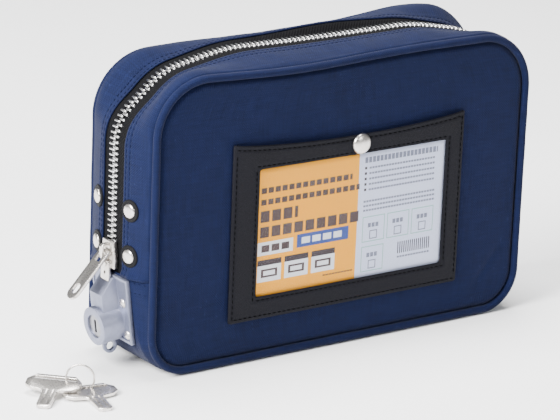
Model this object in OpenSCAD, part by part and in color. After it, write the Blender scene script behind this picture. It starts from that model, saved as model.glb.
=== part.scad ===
// Lockable cash deposit bag: canvas pouch, zip over three sides, key lock on the left end,
// window pocket for an insert card on the front, two keys on a ring.
// Frame: +Z up, front panel faces -Y, lock and slider on the -X end, origin on the floor.

/* [Bag] */
// Width over the front panel
bag_w = 288; // [280:1:296]
// Height of the front panel's top edge
bag_h = 190; // [186:1:194]
// Depth over the two panels
bag_d = 70; // [68:1:72]
// Radius of the upper corners
top_r = 38; // [36:1:42]
// Radius of the lower corners
foot_r = 24; // [22:1:24]
// How far the zip side stands out of the panel's outline
bulge = 7.5; // [7:0.1:7.5]
// Height of the seam between zip side and bottom side
seam_z = 63; // [62:0.5:64]

/* [Window pocket] */
// Left edge of the pocket frame
pocket_x0 = -88; // [-92:1:-84]
// Width of the pocket frame
pocket_w = 179; // [172:1:184]
// Lower edge of the pocket frame
pocket_z0 = 28; // [26:1:30]
// Height of the pocket frame
pocket_h = 116; // [114:1:118]
// Snap button's diameter
snap_d = 13.4; // [12:0.1:15]

/* [Zip] */
// Width of the closed chain
chain_w = 8.8; // [8:0.1:9]
// Distance between two teeth of one row
tooth_pitch = 3.45; // [3.4:0.05:3.6]
// Width of the slider's wide end
slider_w = 15; // [14:0.5:16]
// Length of the pull tab
pull_len = 36.5; // [30:0.5:38]

/* [Lock] */
// Width of the lock's flange
flange_w = 40; // [38:1:42]
// Height of the lock's flange
flange_h = 42.5; // [42:0.5:43]
// Diameter of the round boss
boss_d = 24.4; // [24:0.1:25]
// Lean of the lock, its top outwards, degrees
lock_lean = 7.5; // [7:0.5:7.5]

/* [Keys] */
// Width of a key's bow
bow_w = 34; // [30:1:34]
// Length of a key's blade
blade_len = 19; // [18:1:20]
// Radius of the key ring's wire circle
ring_r = 8.6; // [8.6:0.1:8.8]

/* [Hidden] */
$fn = 48;
eps = 0.01;

canvas = "#26356b";
edge_tape = "#17171b";
faux_leather = "#2c2c31";
zinc = "#b9bec9";
nickel = "#c9ccd2";

half_d = bag_d / 2;
half_w = bag_w / 2;
panel_t = 1.6;
cloth_t = 1.2;
tape_t = 0.8;
base_drop = 1.5;
bead_r = 2.5;
bead_in = 1.6;
panel_in = 4.3;
panel_y = half_d;
hinge_gap = 0.15;
strip_edge_y = 31.7;
tape_gap_y = 11.5;
strip_ys = [strip_edge_y, 28, 24, 20, 16, tape_gap_y];
tape_ys = [20, 16, tape_gap_y, 7, 2.6];
gusset_out = 6.7;

// ---------- outline of the bag, seen from the front ----------

module outline_2d(inset) {
    x = half_w - inset;
    lo = base_drop + inset;
    hi = bag_h - inset;
    rt = top_r - inset;
    rb = foot_r - inset;
    translate([-x, lo + rb]) square([2 * x, hi - rt - lo - rb]);
    translate([-x + rb, lo]) square([2 * (x - rb), rb + eps]);
    translate([-x + rt, hi - rt - eps]) square([2 * (x - rt), rt + eps]);
    for (s = [-1, 1]) {
        translate([s * (x - rb), lo + rb]) circle(rb);
        translate([s * (x - rt), hi - rt]) circle(rt);
    }
}

// A sheet with a 2D shape in X and Z, its rear face at y_rear
module sheet(y_rear, thickness) {
    translate([0, y_rear, 0]) rotate([90, 0, 0]) linear_extrude(thickness) children();
}

module above_seam() {
    translate([-half_w - 20, seam_z + hinge_gap]) square([bag_w + 40, bag_h]);
}

module below_seam() {
    translate([-half_w - 20, -1]) square([bag_w + 40, seam_z - hinge_gap + 1]);
}

// A straight stretch of the rim. Children: profile with X outwards and Y along the depth.
module rim_run(x, z, turn, length) {
    translate([x, 0, z]) rotate([0, turn, 0]) linear_extrude(length) children();
}

// A quarter turn of the rim
module rim_corner(x, z, r, start) {
    translate([x, 0, z]) rotate([-90, 0, 0]) rotate([0, 0, start])
        rotate_extrude(angle = 90, $fn = 96) translate([r, 0]) children();
}

module upper_rim() {
    run_h = bag_h - top_r - seam_z - hinge_gap;
    corner_x = half_w - top_r;
    rim_run(half_w, seam_z + hinge_gap, 0, run_h) children();
    rim_corner(corner_x, bag_h - top_r, top_r, 270) children();
    rim_run(corner_x, bag_h, -90, 2 * corner_x) children();
    rim_corner(-corner_x, bag_h - top_r, top_r, 180) children();
    rim_run(-half_w, bag_h - top_r, 180, run_h) children();
}

module lower_corners_and_floor() {
    corner_x = half_w - foot_r;
    rim_corner(corner_x, base_drop + foot_r, foot_r, 0) children();
    rim_corner(-corner_x, base_drop + foot_r, foot_r, 90) children();
    rim_run(-corner_x, base_drop, 90, 2 * corner_x) children();
}

module lower_rim() {
    run_h = seam_z - hinge_gap - base_drop - foot_r;
    lower_corners_and_floor() children();
    rim_run(half_w, base_drop + foot_r, 0, run_h) children();
    rim_run(-half_w, seam_z - hinge_gap, 180, run_h) children();
}

// ---------- zip side: crowned profile ----------

function crown(y) = bulge * (1 - pow(y / half_d, 2));

// Band between two offsets under the crown, over a list of depths, on the front (-1) or rear (1)
module crowned_band(ys, side, sink, thickness) {
    last = len(ys) - 1;
    polygon(concat(
        [for (y = ys) [crown(y) - sink, side * y]],
        [for (i = [last:-1:0]) [crown(ys[i]) - sink - thickness, side * ys[i]]]
    ));
}

rivet_y = 18;
rivet_zs = [77, 106];
rivet_lean = atan((crown(16) - crown(20)) / 4);
rivet_shank_r = 1.5;
washer_r = 7;
dome_r = 4.9;

// Local +X points out of the cloth at one rivet place on the left end
module at_gusset_rivet(side, z) {
    translate([-half_w - crown(16) + (rivet_y - 16) * tan(rivet_lean), side * rivet_y, z])
        rotate([0, 0, 180 - side * rivet_lean]) children();
}

module rivet_holes(side) {
    for (z = rivet_zs)
        at_gusset_rivet(side, z) translate([-6, 0, 0]) rotate([0, 90, 0]) cylinder(r = rivet_shank_r + 0.1, h = 9);
}

module zip_strip(side) {
    color(canvas) difference() {
        upper_rim() crowned_band(strip_ys, side, 0, cloth_t);
        rivet_holes(side);
    }
}

module zip_tape(side) {
    color(edge_tape) difference() {
        upper_rim() crowned_band(tape_ys, side, cloth_t, tape_t);
        rivet_holes(side);
    }
}

module reinforcement(side) {
    patch_ys = [30, 26, 24, 20, 16, 12.5];
    color(edge_tape) difference() {
        rim_run(-half_w, 120, 180, 52) crowned_band(patch_ys, side, cloth_t + tape_t + 0.1, 1);
        rivet_holes(side);
    }
}

module gusset_rivets(side) {
    color(nickel) for (z = rivet_zs) at_gusset_rivet(side, z) {
        translate([0.9, 0, 0]) intersection() {
            translate([-3.6, 0, 0]) sphere(r = 6.08, $fn = 64);
            rotate([0, 90, 0]) cylinder(r = dome_r, h = 4);
        }
        translate([-4.6, 0, 0]) rotate([0, 90, 0]) cylinder(r = rivet_shank_r, h = 5.6);
        translate([-5.2, 0, 0]) rotate([0, 90, 0]) cylinder(r = 4, h = 1);
    }
}

module rivet_washers(side) {
    color(edge_tape) for (z = rivet_zs) at_gusset_rivet(side, z)
        translate([0.05, 0, 0]) rotate([0, 90, 0]) difference() {
            cylinder(r = washer_r, h = 0.8);
            translate([0, 0, -1]) cylinder(r = rivet_shank_r + 0.1, h = 3);
        }
}

// ---------- teeth along the rim ----------

teeth_z0 = 76.2;
tooth_l = 1.4;
tooth_past = 0.8;
tooth_out = 4;
tooth_h = 3.6;
teeth_r = top_r + tooth_out + tooth_h / 2;
side_run = bag_h - top_r - teeth_z0;
corner_run = teeth_r * PI / 2;
top_run = bag_w - 2 * top_r;
rim_len = 2 * side_run + 2 * corner_run + top_run;
teeth_n = floor(rim_len / tooth_pitch);

// Turn of the outward direction about Y at a distance s from the left end of the teeth
function rim_turn(s) =
    s < side_run ? 180
    : s < side_run + corner_run ? 180 + 90 * (s - side_run) / corner_run
    : s < side_run + corner_run + top_run ? 270
    : s < side_run + 2 * corner_run + top_run ? 270 + 90 * (s - side_run - corner_run - top_run) / corner_run
    : 360;

function rim_x(s) =
    s < side_run + corner_run ? top_r - half_w
    : s < side_run + corner_run + top_run ? top_r - half_w + s - side_run - corner_run
    : half_w - top_r;

function rim_z(s) =
    s < side_run ? teeth_z0 + s
    : s < rim_len - side_run ? bag_h - top_r
    : teeth_z0 + rim_len - s;

module zip_teeth(side) {
    phase = side < 0 ? 0.5 : 0;
    y0 = side < 0 ? -chain_w / 2 : -tooth_past;
    color(zinc) for (i = [0:teeth_n - 2]) {
        s = (i + phase) * tooth_pitch + tooth_l;
        translate([rim_x(s), 0, rim_z(s)]) rotate([0, rim_turn(s), 0])
            translate([top_r + tooth_out, y0, -tooth_l / 2]) cube([tooth_h, chain_w / 2 + tooth_past, tooth_l]);
    }
}

module zip_end_stop() {
    color(zinc) translate([half_w + 3.8, -2.2, 67]) cube([4.2, 6.8, 6]);
}

// ---------- panels, piping, bottom side ----------

module panel(side) {
    sheet(side < 0 ? -panel_y + panel_t : panel_y, panel_t) children();
}

module rear_panel() { color(canvas) panel(1) outline_2d(panel_in); }

module front_panel() {
    color(canvas) difference() {
        panel(-1) intersection() { outline_2d(panel_in); above_seam(); }
        snap_hole();
    }
}

module front_panel_foot() { color(canvas) panel(-1) intersection() { outline_2d(panel_in); below_seam(); } }

module bead_2d(side) { translate([-bead_in, side * (half_d - 0.6)]) circle(bead_r, $fn = 32); }

module rear_piping() { color(canvas) { upper_rim() bead_2d(1); rear_bead_joint(); lower_rim() bead_2d(1); } }

// Closes the small gap that the rims leave at the seam
module rear_bead_joint() {
    for (s = [-1, 1])
        translate([s * (half_w - bead_in), half_d - 0.6, seam_z - 0.5]) cylinder(r = bead_r, h = 1, $fn = 32);
}

module front_piping() { color(canvas) upper_rim() bead_2d(-1); }

module front_piping_foot() { color(canvas) lower_rim() bead_2d(-1); }

seat_gap = 0.05;
head_out = gusset_out - hinge_gap * tan(lock_lean) - seat_gap;
foot_out = gusset_out - (seam_z - base_drop - foot_r) * tan(lock_lean) - seat_gap;
gusset_t = 1.4;
flat_y = 20;
floor_y = 26;

module bottom_profile() {
    polygon([
        [0.3, -strip_edge_y], [base_drop, -floor_y], [base_drop, floor_y], [0.3, strip_edge_y],
        [0.3 - gusset_t, strip_edge_y], [base_drop - gusset_t, floor_y], [base_drop - gusset_t, -floor_y],
        [0.3 - gusset_t, -strip_edge_y]
    ]);
}

// Flat leaning middle of one end, behind the lock
module end_middle() {
    top = seam_z - hinge_gap;
    low = base_drop + foot_r;
    translate([0, flat_y, 0]) rotate([90, 0, 0]) linear_extrude(2 * flat_y) polygon([
        [half_w + head_out, top], [half_w + foot_out, low],
        [half_w + foot_out - gusset_t, low], [half_w + head_out - gusset_t, top]
    ]);
}

module end_cheek(side) {
    top = seam_z - hinge_gap;
    low = base_drop + foot_r;
    hull() {
        for (p = [[flat_y, top, head_out], [flat_y, low, foot_out], [strip_edge_y, top, 1], [strip_edge_y, low, 0.3]])
            translate([half_w + p[2] - gusset_t, side * p[0] - (side > 0 ? 0 : eps), p[1] - (p[1] > low ? eps : 0)])
                cube([gusset_t, eps, eps]);
    }
}

module gusset_end() {
    end_middle();
    end_cheek(1);
    end_cheek(-1);
}

module bottom_gusset() {
    color(canvas) difference() {
        union() {
            lower_corners_and_floor() bottom_profile();
            gusset_end();
            mirror([1, 0, 0]) gusset_end();
        }
        lock_frame() {
            lock_cylinder(tail_r + 0.2, -8, 4);
            lock_rivet_holes();
        }
    }
}

module seam_bindings() {
    color(edge_tape) for (s = [0, 1]) mirror([s, 0, 0])
        translate([0, flat_y - 1, 0]) rotate([90, 0, 0]) linear_extrude(2 * flat_y - 2)
            polygon([
                [half_w + gusset_out - 1.5, seam_z - 0.2], [half_w + gusset_out - 1.65, seam_z - 1.5],
                [half_w + gusset_out - 2.35, seam_z - 1.5], [half_w + gusset_out - 2.2, seam_z - 0.2]
            ]);
}

module base_board() {
    board_w = bag_w - 2 * foot_r;
    color("#3a3a3e") translate([-board_w / 2, -floor_y, base_drop + 0.2]) cube([board_w, 2 * floor_y, 2]);
}

// ---------- window pocket ----------

frame_face_y = 38;
frame_back_y = 36.7;
border = 9;
window_x0 = -68;
window_w = 145;
window_z0 = 43;
window_h = 83;
snap_x = 8;
snap_z = pocket_z0 + pocket_h - 11.5;

module pocket_2d() { translate([pocket_x0, pocket_z0]) square([pocket_w, pocket_h]); }

module pocket_inner_2d() { translate([pocket_x0 + border, pocket_z0 + border]) square([pocket_w - 2 * border, pocket_h]); }

module window_2d() { translate([window_x0, window_z0]) square([window_w, window_h]); }

module pocket_frame_whole() {
    sheet(-frame_back_y, frame_face_y - frame_back_y) difference() { pocket_2d(); window_2d(); }
    sheet(-panel_y - 0.05, frame_back_y - panel_y) difference() { pocket_2d(); pocket_inner_2d(); }
}

module halfspace(upper) { sheet(0, 60) if (upper) above_seam(); else below_seam(); }

module pocket_frame() {
    color(faux_leather) difference() {
        intersection() { pocket_frame_whole(); halfspace(true); }
        snap_hole();
    }
}

module pocket_frame_foot() { color(faux_leather) intersection() { pocket_frame_whole(); halfspace(false); } }

module glazing_2d() {
    difference() {
        translate([window_x0 - 7, window_z0 - 5]) square([window_w + 11, window_h + 9]);
        translate([snap_x, snap_z]) circle(6);
    }
}

module pocket_window() {
    color([0.8, 0.85, 0.9, 0.35]) sheet(-36, 0.6) intersection() { glazing_2d(); above_seam(); }
}

module pocket_window_foot() {
    color([0.8, 0.85, 0.9, 0.35]) sheet(-36, 0.6) intersection() { glazing_2d(); below_seam(); }
}

module card_2d() { translate([window_x0 - 5, window_z0 - 4]) square([window_w + 8, window_h + 3]); }

module insert_card() { color("#e8bc78") sheet(-35.3, 0.4) intersection() { card_2d(); above_seam(); } }

module insert_card_foot() { color("#e8bc78") sheet(-35.3, 0.4) intersection() { card_2d(); below_seam(); } }

// ---------- snap button ----------

snap_shank_r = 1.2;

// A disc on the snap's axis between two distances in front of the bag's middle
module snap_disc(r, y0, y1) {
    translate([snap_x, -y0, snap_z]) rotate([90, 0, 0]) cylinder(r = r, h = y1 - y0);
}

module snap_hole() { snap_disc(snap_shank_r + 0.1, 30, 40); }

module snap_cap() {
    color(nickel) {
        snap_disc(snap_d / 2, frame_face_y, frame_face_y + 0.8);
        intersection() {
            translate([snap_x, -frame_face_y + 8.5, snap_z]) sphere(r = 11, $fn = 96);
            snap_disc(snap_d / 2, frame_face_y + 0.7, frame_face_y + 4);
        }
        snap_disc(snap_shank_r, frame_back_y - 0.1, frame_face_y + 0.5);
    }
}

module snap_socket() {
    color(nickel) difference() {
        snap_disc(5.2, 36, 36.6);
        snap_disc(2.4, 35.5, 37);
    }
}

module snap_stud() {
    color(nickel) {
        snap_disc(5, panel_y + 0.05, panel_y + 0.6);
        snap_disc(2.2, panel_y + 0.5, 36.5);
    }
}

module snap_post() {
    color(nickel) {
        snap_disc(4.5, panel_y - panel_t - 0.7, panel_y - panel_t - 0.05);
        snap_disc(snap_shank_r, panel_y - panel_t - 0.2, panel_y);
    }
}

// ---------- key lock on the left end ----------
// In the lock's own frame X = 0 is the flange's back, -X points out of the bag, Z runs along the flange.

flange_t = 2.4;
lip_w = 1.6;
lip_h = 0.8;
flange_top = -1;
axis_z = -32.7;
block_w = 14;
block_out = 12.7;
boss_out = 16.2;
plug_r = 7.4;
plug_neck_r = 4.8;
run_fit = 0.05;
tail_r = 9.5;
cam_r = 11.2;
cam_in = 5.9;
cam_out = 8.1;
cavity_out = 9;
lock_rivet_r = 1.6;
lock_rivet_places = [[12, -18], [14.5, -38.6]];
tongue_w = 9;
tongue_in = 9.7;
tongue_t = 2;
tongue_z0 = 35.4;

module lock_frame() {
    translate([-half_w - gusset_out, 0, seam_z]) rotate([0, -lock_lean, 0]) children();
}

// A cylinder on the lock's axis, from out0 to out1 in front of the flange's back
module lock_cylinder(r, out0, out1) {
    translate([-out1, 0, axis_z]) rotate([0, 90, 0]) cylinder(r = r, h = out1 - out0);
}

module lock_rivet_holes() {
    for (s = [-1, 1], p = lock_rivet_places)
        translate([-6, s * p[0], p[1]]) rotate([0, 90, 0]) cylinder(r = lock_rivet_r + 0.1, h = 12);
}

module flange() {
    difference() {
        translate([-flange_t, -flange_w / 2, flange_top - flange_h]) cube([flange_t, flange_w, flange_h]);
        translate([-flange_t - 1, -flange_w / 2 + lip_w, flange_top - flange_h + lip_w])
            cube([1 + lip_h, flange_w - 2 * lip_w, flange_h - 2 * lip_w]);
    }
}

module lock_block() {
    translate([0, block_w / 2, 0]) rotate([90, 0, 0]) linear_extrude(block_w)
        polygon([[0, axis_z], [-block_out, axis_z], [-block_out, -11.5], [-3.8, -2.2], [0, -2.2]]);
}

// Upright slot that the slider's tongue drops into
module tongue_slot() {
    translate([-half_w - tongue_in - tongue_t - 0.3, -tongue_w / 2 - 0.3, tongue_z0 - 0.4])
        cube([tongue_t + 0.6, tongue_w + 0.6, 40]);
}

module lock_housing() {
    color(zinc) difference() {
        lock_frame() difference() {
            union() {
                flange();
                lock_block();
                lock_cylinder(boss_d / 2, 0, boss_out);
            }
            lock_cylinder(plug_r + run_fit, cavity_out - 0.5, boss_out + 1);
            lock_cylinder(cam_r + 0.25, -1, cavity_out);
            lock_rivet_holes();
        }
        tongue_slot();
    }
}

module lock_tail() {
    color(zinc) lock_frame() difference() {
        union() {
            lock_cylinder(cam_r + 0.15, 0.05, 5.2);
            lock_cylinder(tail_r, -11, 0.1);
        }
        lock_cylinder(plug_neck_r + run_fit, -9.5, 6);
    }
}

module lock_backing_plate() {
    color("#8d9096") lock_frame() difference() {
        translate([1.65, -flange_w / 2 + 2, flange_top - flange_h + 1.9]) cube([1.5, flange_w - 4, flange_h - 4]);
        lock_cylinder(tail_r + 0.2, -8, 4);
        lock_rivet_holes();
    }
}

module lock_rivets() {
    face = flange_t - lip_h;
    color(nickel) lock_frame() for (s = [-1, 1], p = lock_rivet_places) translate([0, s * p[0], p[1]]) {
        intersection() {
            translate([-face + 2.4, 0, 0]) sphere(r = 3.85);
            translate([-face - 2, 0, 0]) rotate([0, 90, 0]) cylinder(r = 3, h = 2);
        }
        translate([-face - 0.4, 0, 0]) rotate([0, 90, 0]) cylinder(r = lock_rivet_r, h = face + 3.9);
        translate([3.2, 0, 0]) rotate([0, 90, 0]) cylinder(r = 2.6, h = 0.9);
    }
}

eye_out = 6.4;
eye_z = axis_z - 15.6;
eye_hole_r = 2.8;
eye_t = 2.2;

module seal_eye() {
    color(zinc) lock_frame() difference() {
        union() {
            translate([-eye_out, eye_t / 2, eye_z]) rotate([90, 0, 0]) cylinder(r = 4.8, h = eye_t);
            translate([-eye_out - 4.8, -eye_t / 2, eye_z]) cube([9.6, eye_t, 6]);
        }
        translate([-eye_out, 5, eye_z]) rotate([90, 0, 0]) cylinder(r = eye_hole_r, h = 10);
        lock_cylinder(boss_d / 2 + 0.02, -1, boss_out + 1);
    }
}

// Wall sector about the lock's axis, angles counted from up towards the front of the bag
module cam_sector(r0, r1, a0, a1) {
    translate([-cam_out, 0, axis_z]) rotate([0, 90, 0]) rotate([0, 0, 180 + a0])
        rotate_extrude(angle = a1 - a0, $fn = 96) translate([r0, 0]) square([r1 - r0, cam_out - cam_in]);
}

module lock_plug() {
    color(zinc) lock_frame() difference() {
        union() {
            lock_cylinder(plug_r, cavity_out + 0.2, boss_out - 1);
            lock_cylinder(plug_neck_r, -9.2, cavity_out + 0.3);
            cam_sector(8.5, cam_r, 98, 165);
            cam_sector(4.5, cam_r, 132, 165);
        }
        translate([-boss_out - 1, -1.15, axis_z - 4.2]) cube([boss_out + 8, 2.3, 8.4]);
    }
}

// ---------- slider on the left run of the zip ----------

slider_z = 66;
slider_len = 17;
plate_in = 8.1;
plate_out = 9.7;
under_in = 2.1;
under_out = 3.7;
neck_w = 12;

module slider_2d() {
    w = slider_w / 2;
    n = neck_w / 2;
    polygon([[-w, 0], [w, 0], [w, 6], [n, slider_len], [-n, slider_len], [-w, 6]]);
}

// 2D shape in Y and Z, between two distances out of the panel's outline on the left end
module left_slab(out0, out1) {
    translate([-half_w - out1, 0, slider_z]) rotate([90, 0, 90]) linear_extrude(out1 - out0) children();
}

module slider_side_2d() {
    difference() {
        slider_2d();
        translate([0, -1]) slider_inner_2d();
    }
}

// The slider's outline without its side walls
module slider_inner_2d() {
    w = slider_w / 2 - 1.2;
    n = neck_w / 2 - 1.2;
    polygon([[-w, 0], [w, 0], [w, 7], [n, slider_len + 2], [-n, slider_len + 2], [-w, 7]]);
}

module slider_top_plate() {
    color(nickel) {
        left_slab(plate_in, plate_out) slider_2d();
        left_slab(6.8, plate_in + 0.1) slider_side_2d();
    }
}

module slider_bottom_plate() {
    color(nickel) {
        left_slab(under_in, under_out) slider_2d();
        left_slab(under_out - 0.1, 4.9) slider_side_2d();
        left_slab(under_out - 0.1, plate_in) polygon([[0, 0.4], [1.9, 3], [1.9, 5], [0, 8.6], [-1.9, 5], [-1.9, 3]]);
    }
}

bridge_z0 = 5.2;
bridge_z1 = 15.4;
pivot_out = 11.6;
pivot_z = slider_z + (bridge_z0 + bridge_z1) / 2;

module slider_bridge() {
    color(nickel) translate([-half_w, 1.5, slider_z]) rotate([90, 0, 0]) linear_extrude(3) polygon([
        [-plate_out, bridge_z0], [-13.6, bridge_z0], [-15, bridge_z0 + 1.6], [-15, bridge_z1 - 1.6],
        [-13.6, bridge_z1], [-plate_out, bridge_z1], [-plate_out, bridge_z1 - 1.8], [-13.2, bridge_z1 - 1.8],
        [-13.2, bridge_z0 + 1.8], [-plate_out, bridge_z0 + 1.8]
    ]);
}

// Plate under the slider; the plug's hook turns into the notch on its front edge
module lock_tongue() {
    plug_z = tongue_z0 - slider_z;
    w = tongue_w / 2;
    color(nickel) left_slab(tongue_in, tongue_in + tongue_t) difference() {
        polygon([[-3, plug_z], [w, plug_z], [w, 3], [3.6, 4.6], [-3.6, 4.6], [-w, 3], [-w, plug_z + 7],
            [-0.8, plug_z + 7], [-0.8, plug_z + 2], [-3, plug_z + 2]]);
        translate([0, 2.4]) circle(1.3);
        translate([0, -3.2]) circle(1);
    }
}

module tongue_rivet() {
    color(nickel) translate([-half_w - 12.5, 0, slider_z + 2.4]) rotate([0, 90, 0]) {
        cylinder(r = 2, h = 0.75);
        cylinder(r = 1.2, h = 2.75);
    }
}

// ---------- pull tab ----------

pull_lean = 43;
pull_w = 10;
pull_t = 1.8;
pull_bar_r = 1.1;

module pull_outline_2d() {
    r = pull_w / 2;
    translate([-r, 0]) square([pull_w, pull_len - r]);
    translate([0, pull_len - r]) circle(r);
}

// Drawn hanging along local -Z, then swung out
module pull_tab() {
    color(nickel) translate([-half_w - pivot_out, 0, pivot_z]) rotate([0, pull_lean, 0]) {
        translate([-pull_t / 2, 0, 0]) rotate([90, 0, 90]) linear_extrude(pull_t) mirror([0, 1]) difference() {
            pull_outline_2d();
            translate([-2.6, -1]) square([5.2, 9]);
            translate([0, pull_len - 6.4]) circle(2.6);
            translate([0, pull_len - 8.4]) circle(2.6);
            translate([-2.6, pull_len - 8.4]) square([5.2, 2]);
        }
        translate([0, pull_w / 2, 0]) rotate([90, 0, 0]) cylinder(r = pull_bar_r, h = pull_w);
    }
}

// ---------- keys on their ring, lying in front of the lock ----------

ring_wire_r = 0.6;
ring_at = [-190, -29.5];
ring_turn = -38.5;
ring_c_z = ring_r + ring_wire_r + 0.1;
key_t = 2;
bow_d = 17;
bow_back = 3.7;
slot_l = 26;
slot_w = 3;
left_cross = -8;
right_cross = 5.4;
left_turn = -45;
right_turn = -9.5;
left_lift = 6.2;
right_lift = 1.8;

module key_ring() {
    color(nickel) translate([ring_at[0], ring_at[1], ring_c_z]) rotate([0, 0, ring_turn]) rotate([90, 0, 0])
        rotate_extrude($fn = 64) translate([ring_r, 0]) circle(ring_wire_r, $fn = 24);
}

// Key seen from above: slot along X through the origin, blade towards -Y
module key_2d(slot_shift) {
    h = bow_w / 2;
    front = bow_back - bow_d;
    translate([-slot_shift, 0]) difference() {
        polygon([
            [-h + 5, bow_back], [h - 5, bow_back], [h, bow_back - 6], [h, front + 5], [h - 4, front + 1.5],
            [6, front], [4.5, front - 1.5], [4.5, front - blade_len + 2], [2.7, front - blade_len],
            [-2.7, front - blade_len], [-4.5, front - blade_len + 2], [-4.5, front - 1.5], [-6, front],
            [-h + 4, front + 1.5], [-h, front + 5], [-h, bow_back - 6]
        ]);
        translate([-slot_l / 2, -slot_w / 2]) square([slot_l, slot_w]);
    }
}

module key(cross, turn, lift, slot_shift) {
    reach = bow_d - bow_back + blade_len;
    lean = asin(lift / reach);
    c = ring_at + cross * [cos(ring_turn), sin(ring_turn)];
    color(nickel) translate([c[0], c[1], lift + 0.1]) rotate([0, 0, turn]) rotate([lean, 0, 0]) difference() {
        linear_extrude(key_t) key_2d(slot_shift);
        for (s = [-1, 1]) translate([s * 1.9 - 0.6 - slot_shift, -reach + 3, key_t - 0.5]) cube([1.2, blade_len - 3, 1]);
    }
}

module left_key() { key(left_cross, left_turn, left_lift, 7); }

module right_key() { key(right_cross, right_turn, right_lift, 1.5); }

rear_panel();
rear_piping();
zip_strip(1);  // rear_zip_strip
zip_tape(1);  // rear_zip_tape
zip_teeth(1);  // rear_zip_teeth
reinforcement(1);  // rear_reinforcement
gusset_rivets(1);  // rear_gusset_rivets
rivet_washers(1);  // rear_rivet_washers
zip_end_stop();
bottom_gusset();
seam_bindings();
base_board();
front_panel_foot();
front_piping_foot();
pocket_frame_foot();
pocket_window_foot();
insert_card_foot();
front_panel();
front_piping();
zip_strip(-1);  // front_zip_strip
zip_tape(-1);  // front_zip_tape
zip_teeth(-1);  // front_zip_teeth
reinforcement(-1);  // front_reinforcement
gusset_rivets(-1);  // front_gusset_rivets
rivet_washers(-1);  // front_rivet_washers
pocket_frame();
pocket_window();
insert_card();
snap_cap();
snap_socket();
snap_stud();
snap_post();
lock_housing();
lock_tail();
lock_backing_plate();
lock_rivets();
seal_eye();
lock_plug();
slider_top_plate();
slider_bottom_plate();
slider_bridge();
lock_tongue();
tongue_rivet();
pull_tab();
key_ring();
left_key();
right_key();
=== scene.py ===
"""Visual model of a lockable canvas cash bag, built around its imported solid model.

Each sub-assembly is a class that holds its sizes, each finish is a frozen dataclass, and main()
builds them in order. All lengths are metres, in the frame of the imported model.
"""

import logging
import math
from dataclasses import dataclass, field
from enum import Enum
from typing import Callable, Iterable, Sequence

import bmesh
import bpy
from mathutils import Matrix, Vector, noise


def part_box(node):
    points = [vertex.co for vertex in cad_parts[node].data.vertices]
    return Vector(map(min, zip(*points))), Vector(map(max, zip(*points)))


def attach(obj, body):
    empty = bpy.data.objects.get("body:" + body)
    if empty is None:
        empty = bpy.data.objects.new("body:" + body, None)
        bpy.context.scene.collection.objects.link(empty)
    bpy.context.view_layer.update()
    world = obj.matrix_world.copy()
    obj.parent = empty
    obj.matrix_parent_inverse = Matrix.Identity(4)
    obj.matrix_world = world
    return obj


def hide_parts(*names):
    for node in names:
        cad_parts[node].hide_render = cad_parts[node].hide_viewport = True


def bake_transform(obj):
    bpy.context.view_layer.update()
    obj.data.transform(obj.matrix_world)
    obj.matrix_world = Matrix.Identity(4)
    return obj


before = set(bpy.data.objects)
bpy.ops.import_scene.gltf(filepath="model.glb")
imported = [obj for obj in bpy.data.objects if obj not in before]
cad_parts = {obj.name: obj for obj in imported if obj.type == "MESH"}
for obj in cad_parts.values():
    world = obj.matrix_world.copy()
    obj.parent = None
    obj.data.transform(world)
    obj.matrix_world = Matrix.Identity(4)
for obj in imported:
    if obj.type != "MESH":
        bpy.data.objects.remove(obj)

logging.basicConfig(level=logging.INFO, format="%(message)s")
LOG = logging.getLogger("cash_bag")

# Depths at which the shell's cloth meets the piping's seam, and to which it laps under the piping.
SEAM_Y = 0.0317
LAP_Y = 0.0338

Place = Callable[[float, float], Vector]
Colour = tuple[float, float, float]


class Side(Enum):
    """The two long sides of the bag, by the sign of their Y."""

    FRONT = -1
    REAR = 1


class Body(Enum):
    """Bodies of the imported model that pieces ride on."""

    BAG = "bag"
    COVER = "front_cover"
    SLIDER = "slider"
    PULL = "pull"
    PLUG = "plug"
    RING = "ring"
    KEY_LEFT = "key_left"
    KEY_RIGHT = "key_right"


# ---------------------------------------------------------------- small sums


def ease(low: float, high: float, value: float) -> float:
    """Rise smoothly from 0 to 1.

    Args:
        low: value at which the rise begins.
        high: value at which it ends.
        value: where it is read.

    Returns:
        A number from 0 to 1.
    """
    t = min(max((value - low) / (high - low), 0.0), 1.0)
    return t * t * (3.0 - 2.0 * t)


def hump(value: float, centre: float, width: float) -> float:
    """Give a bell of height 1.

    Args:
        value: where it is read.
        centre: middle of the bell.
        width: distance at which it has fallen to about a third.

    Returns:
        A number from 0 to 1.
    """
    return math.exp(-(((value - centre) / width) ** 2))


def mix(a: float, b: float, t: float) -> float:
    """Return the value a part t of the way from a to b."""
    return a + (b - a) * t


def ripple(point: Vector, scale: float, seed: float) -> float:
    """Read smooth noise at a point.

    Args:
        point: place in metres.
        scale: size of one ripple in metres.
        seed: shifts the noise, so that two sheets differ.

    Returns:
        About -1 to 1.
    """
    return noise.noise(point / scale + Vector((seed, seed * 0.7, -seed)))


# ---------------------------------------------------------------- rim of the bag


@dataclass(frozen=True)
class Run:
    """Straight stretch of the rim.

    Attributes:
        start: first point.
        heading: unit direction of travel.
        length: how long it is.
    """

    start: Vector
    heading: Vector
    length: float

    def at(self, s: float) -> tuple[Vector, Vector]:
        """Return the point and outward normal at a distance s along the run."""
        return self.start + self.heading * s, Vector((-self.heading.z, 0.0, self.heading.x))


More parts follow.
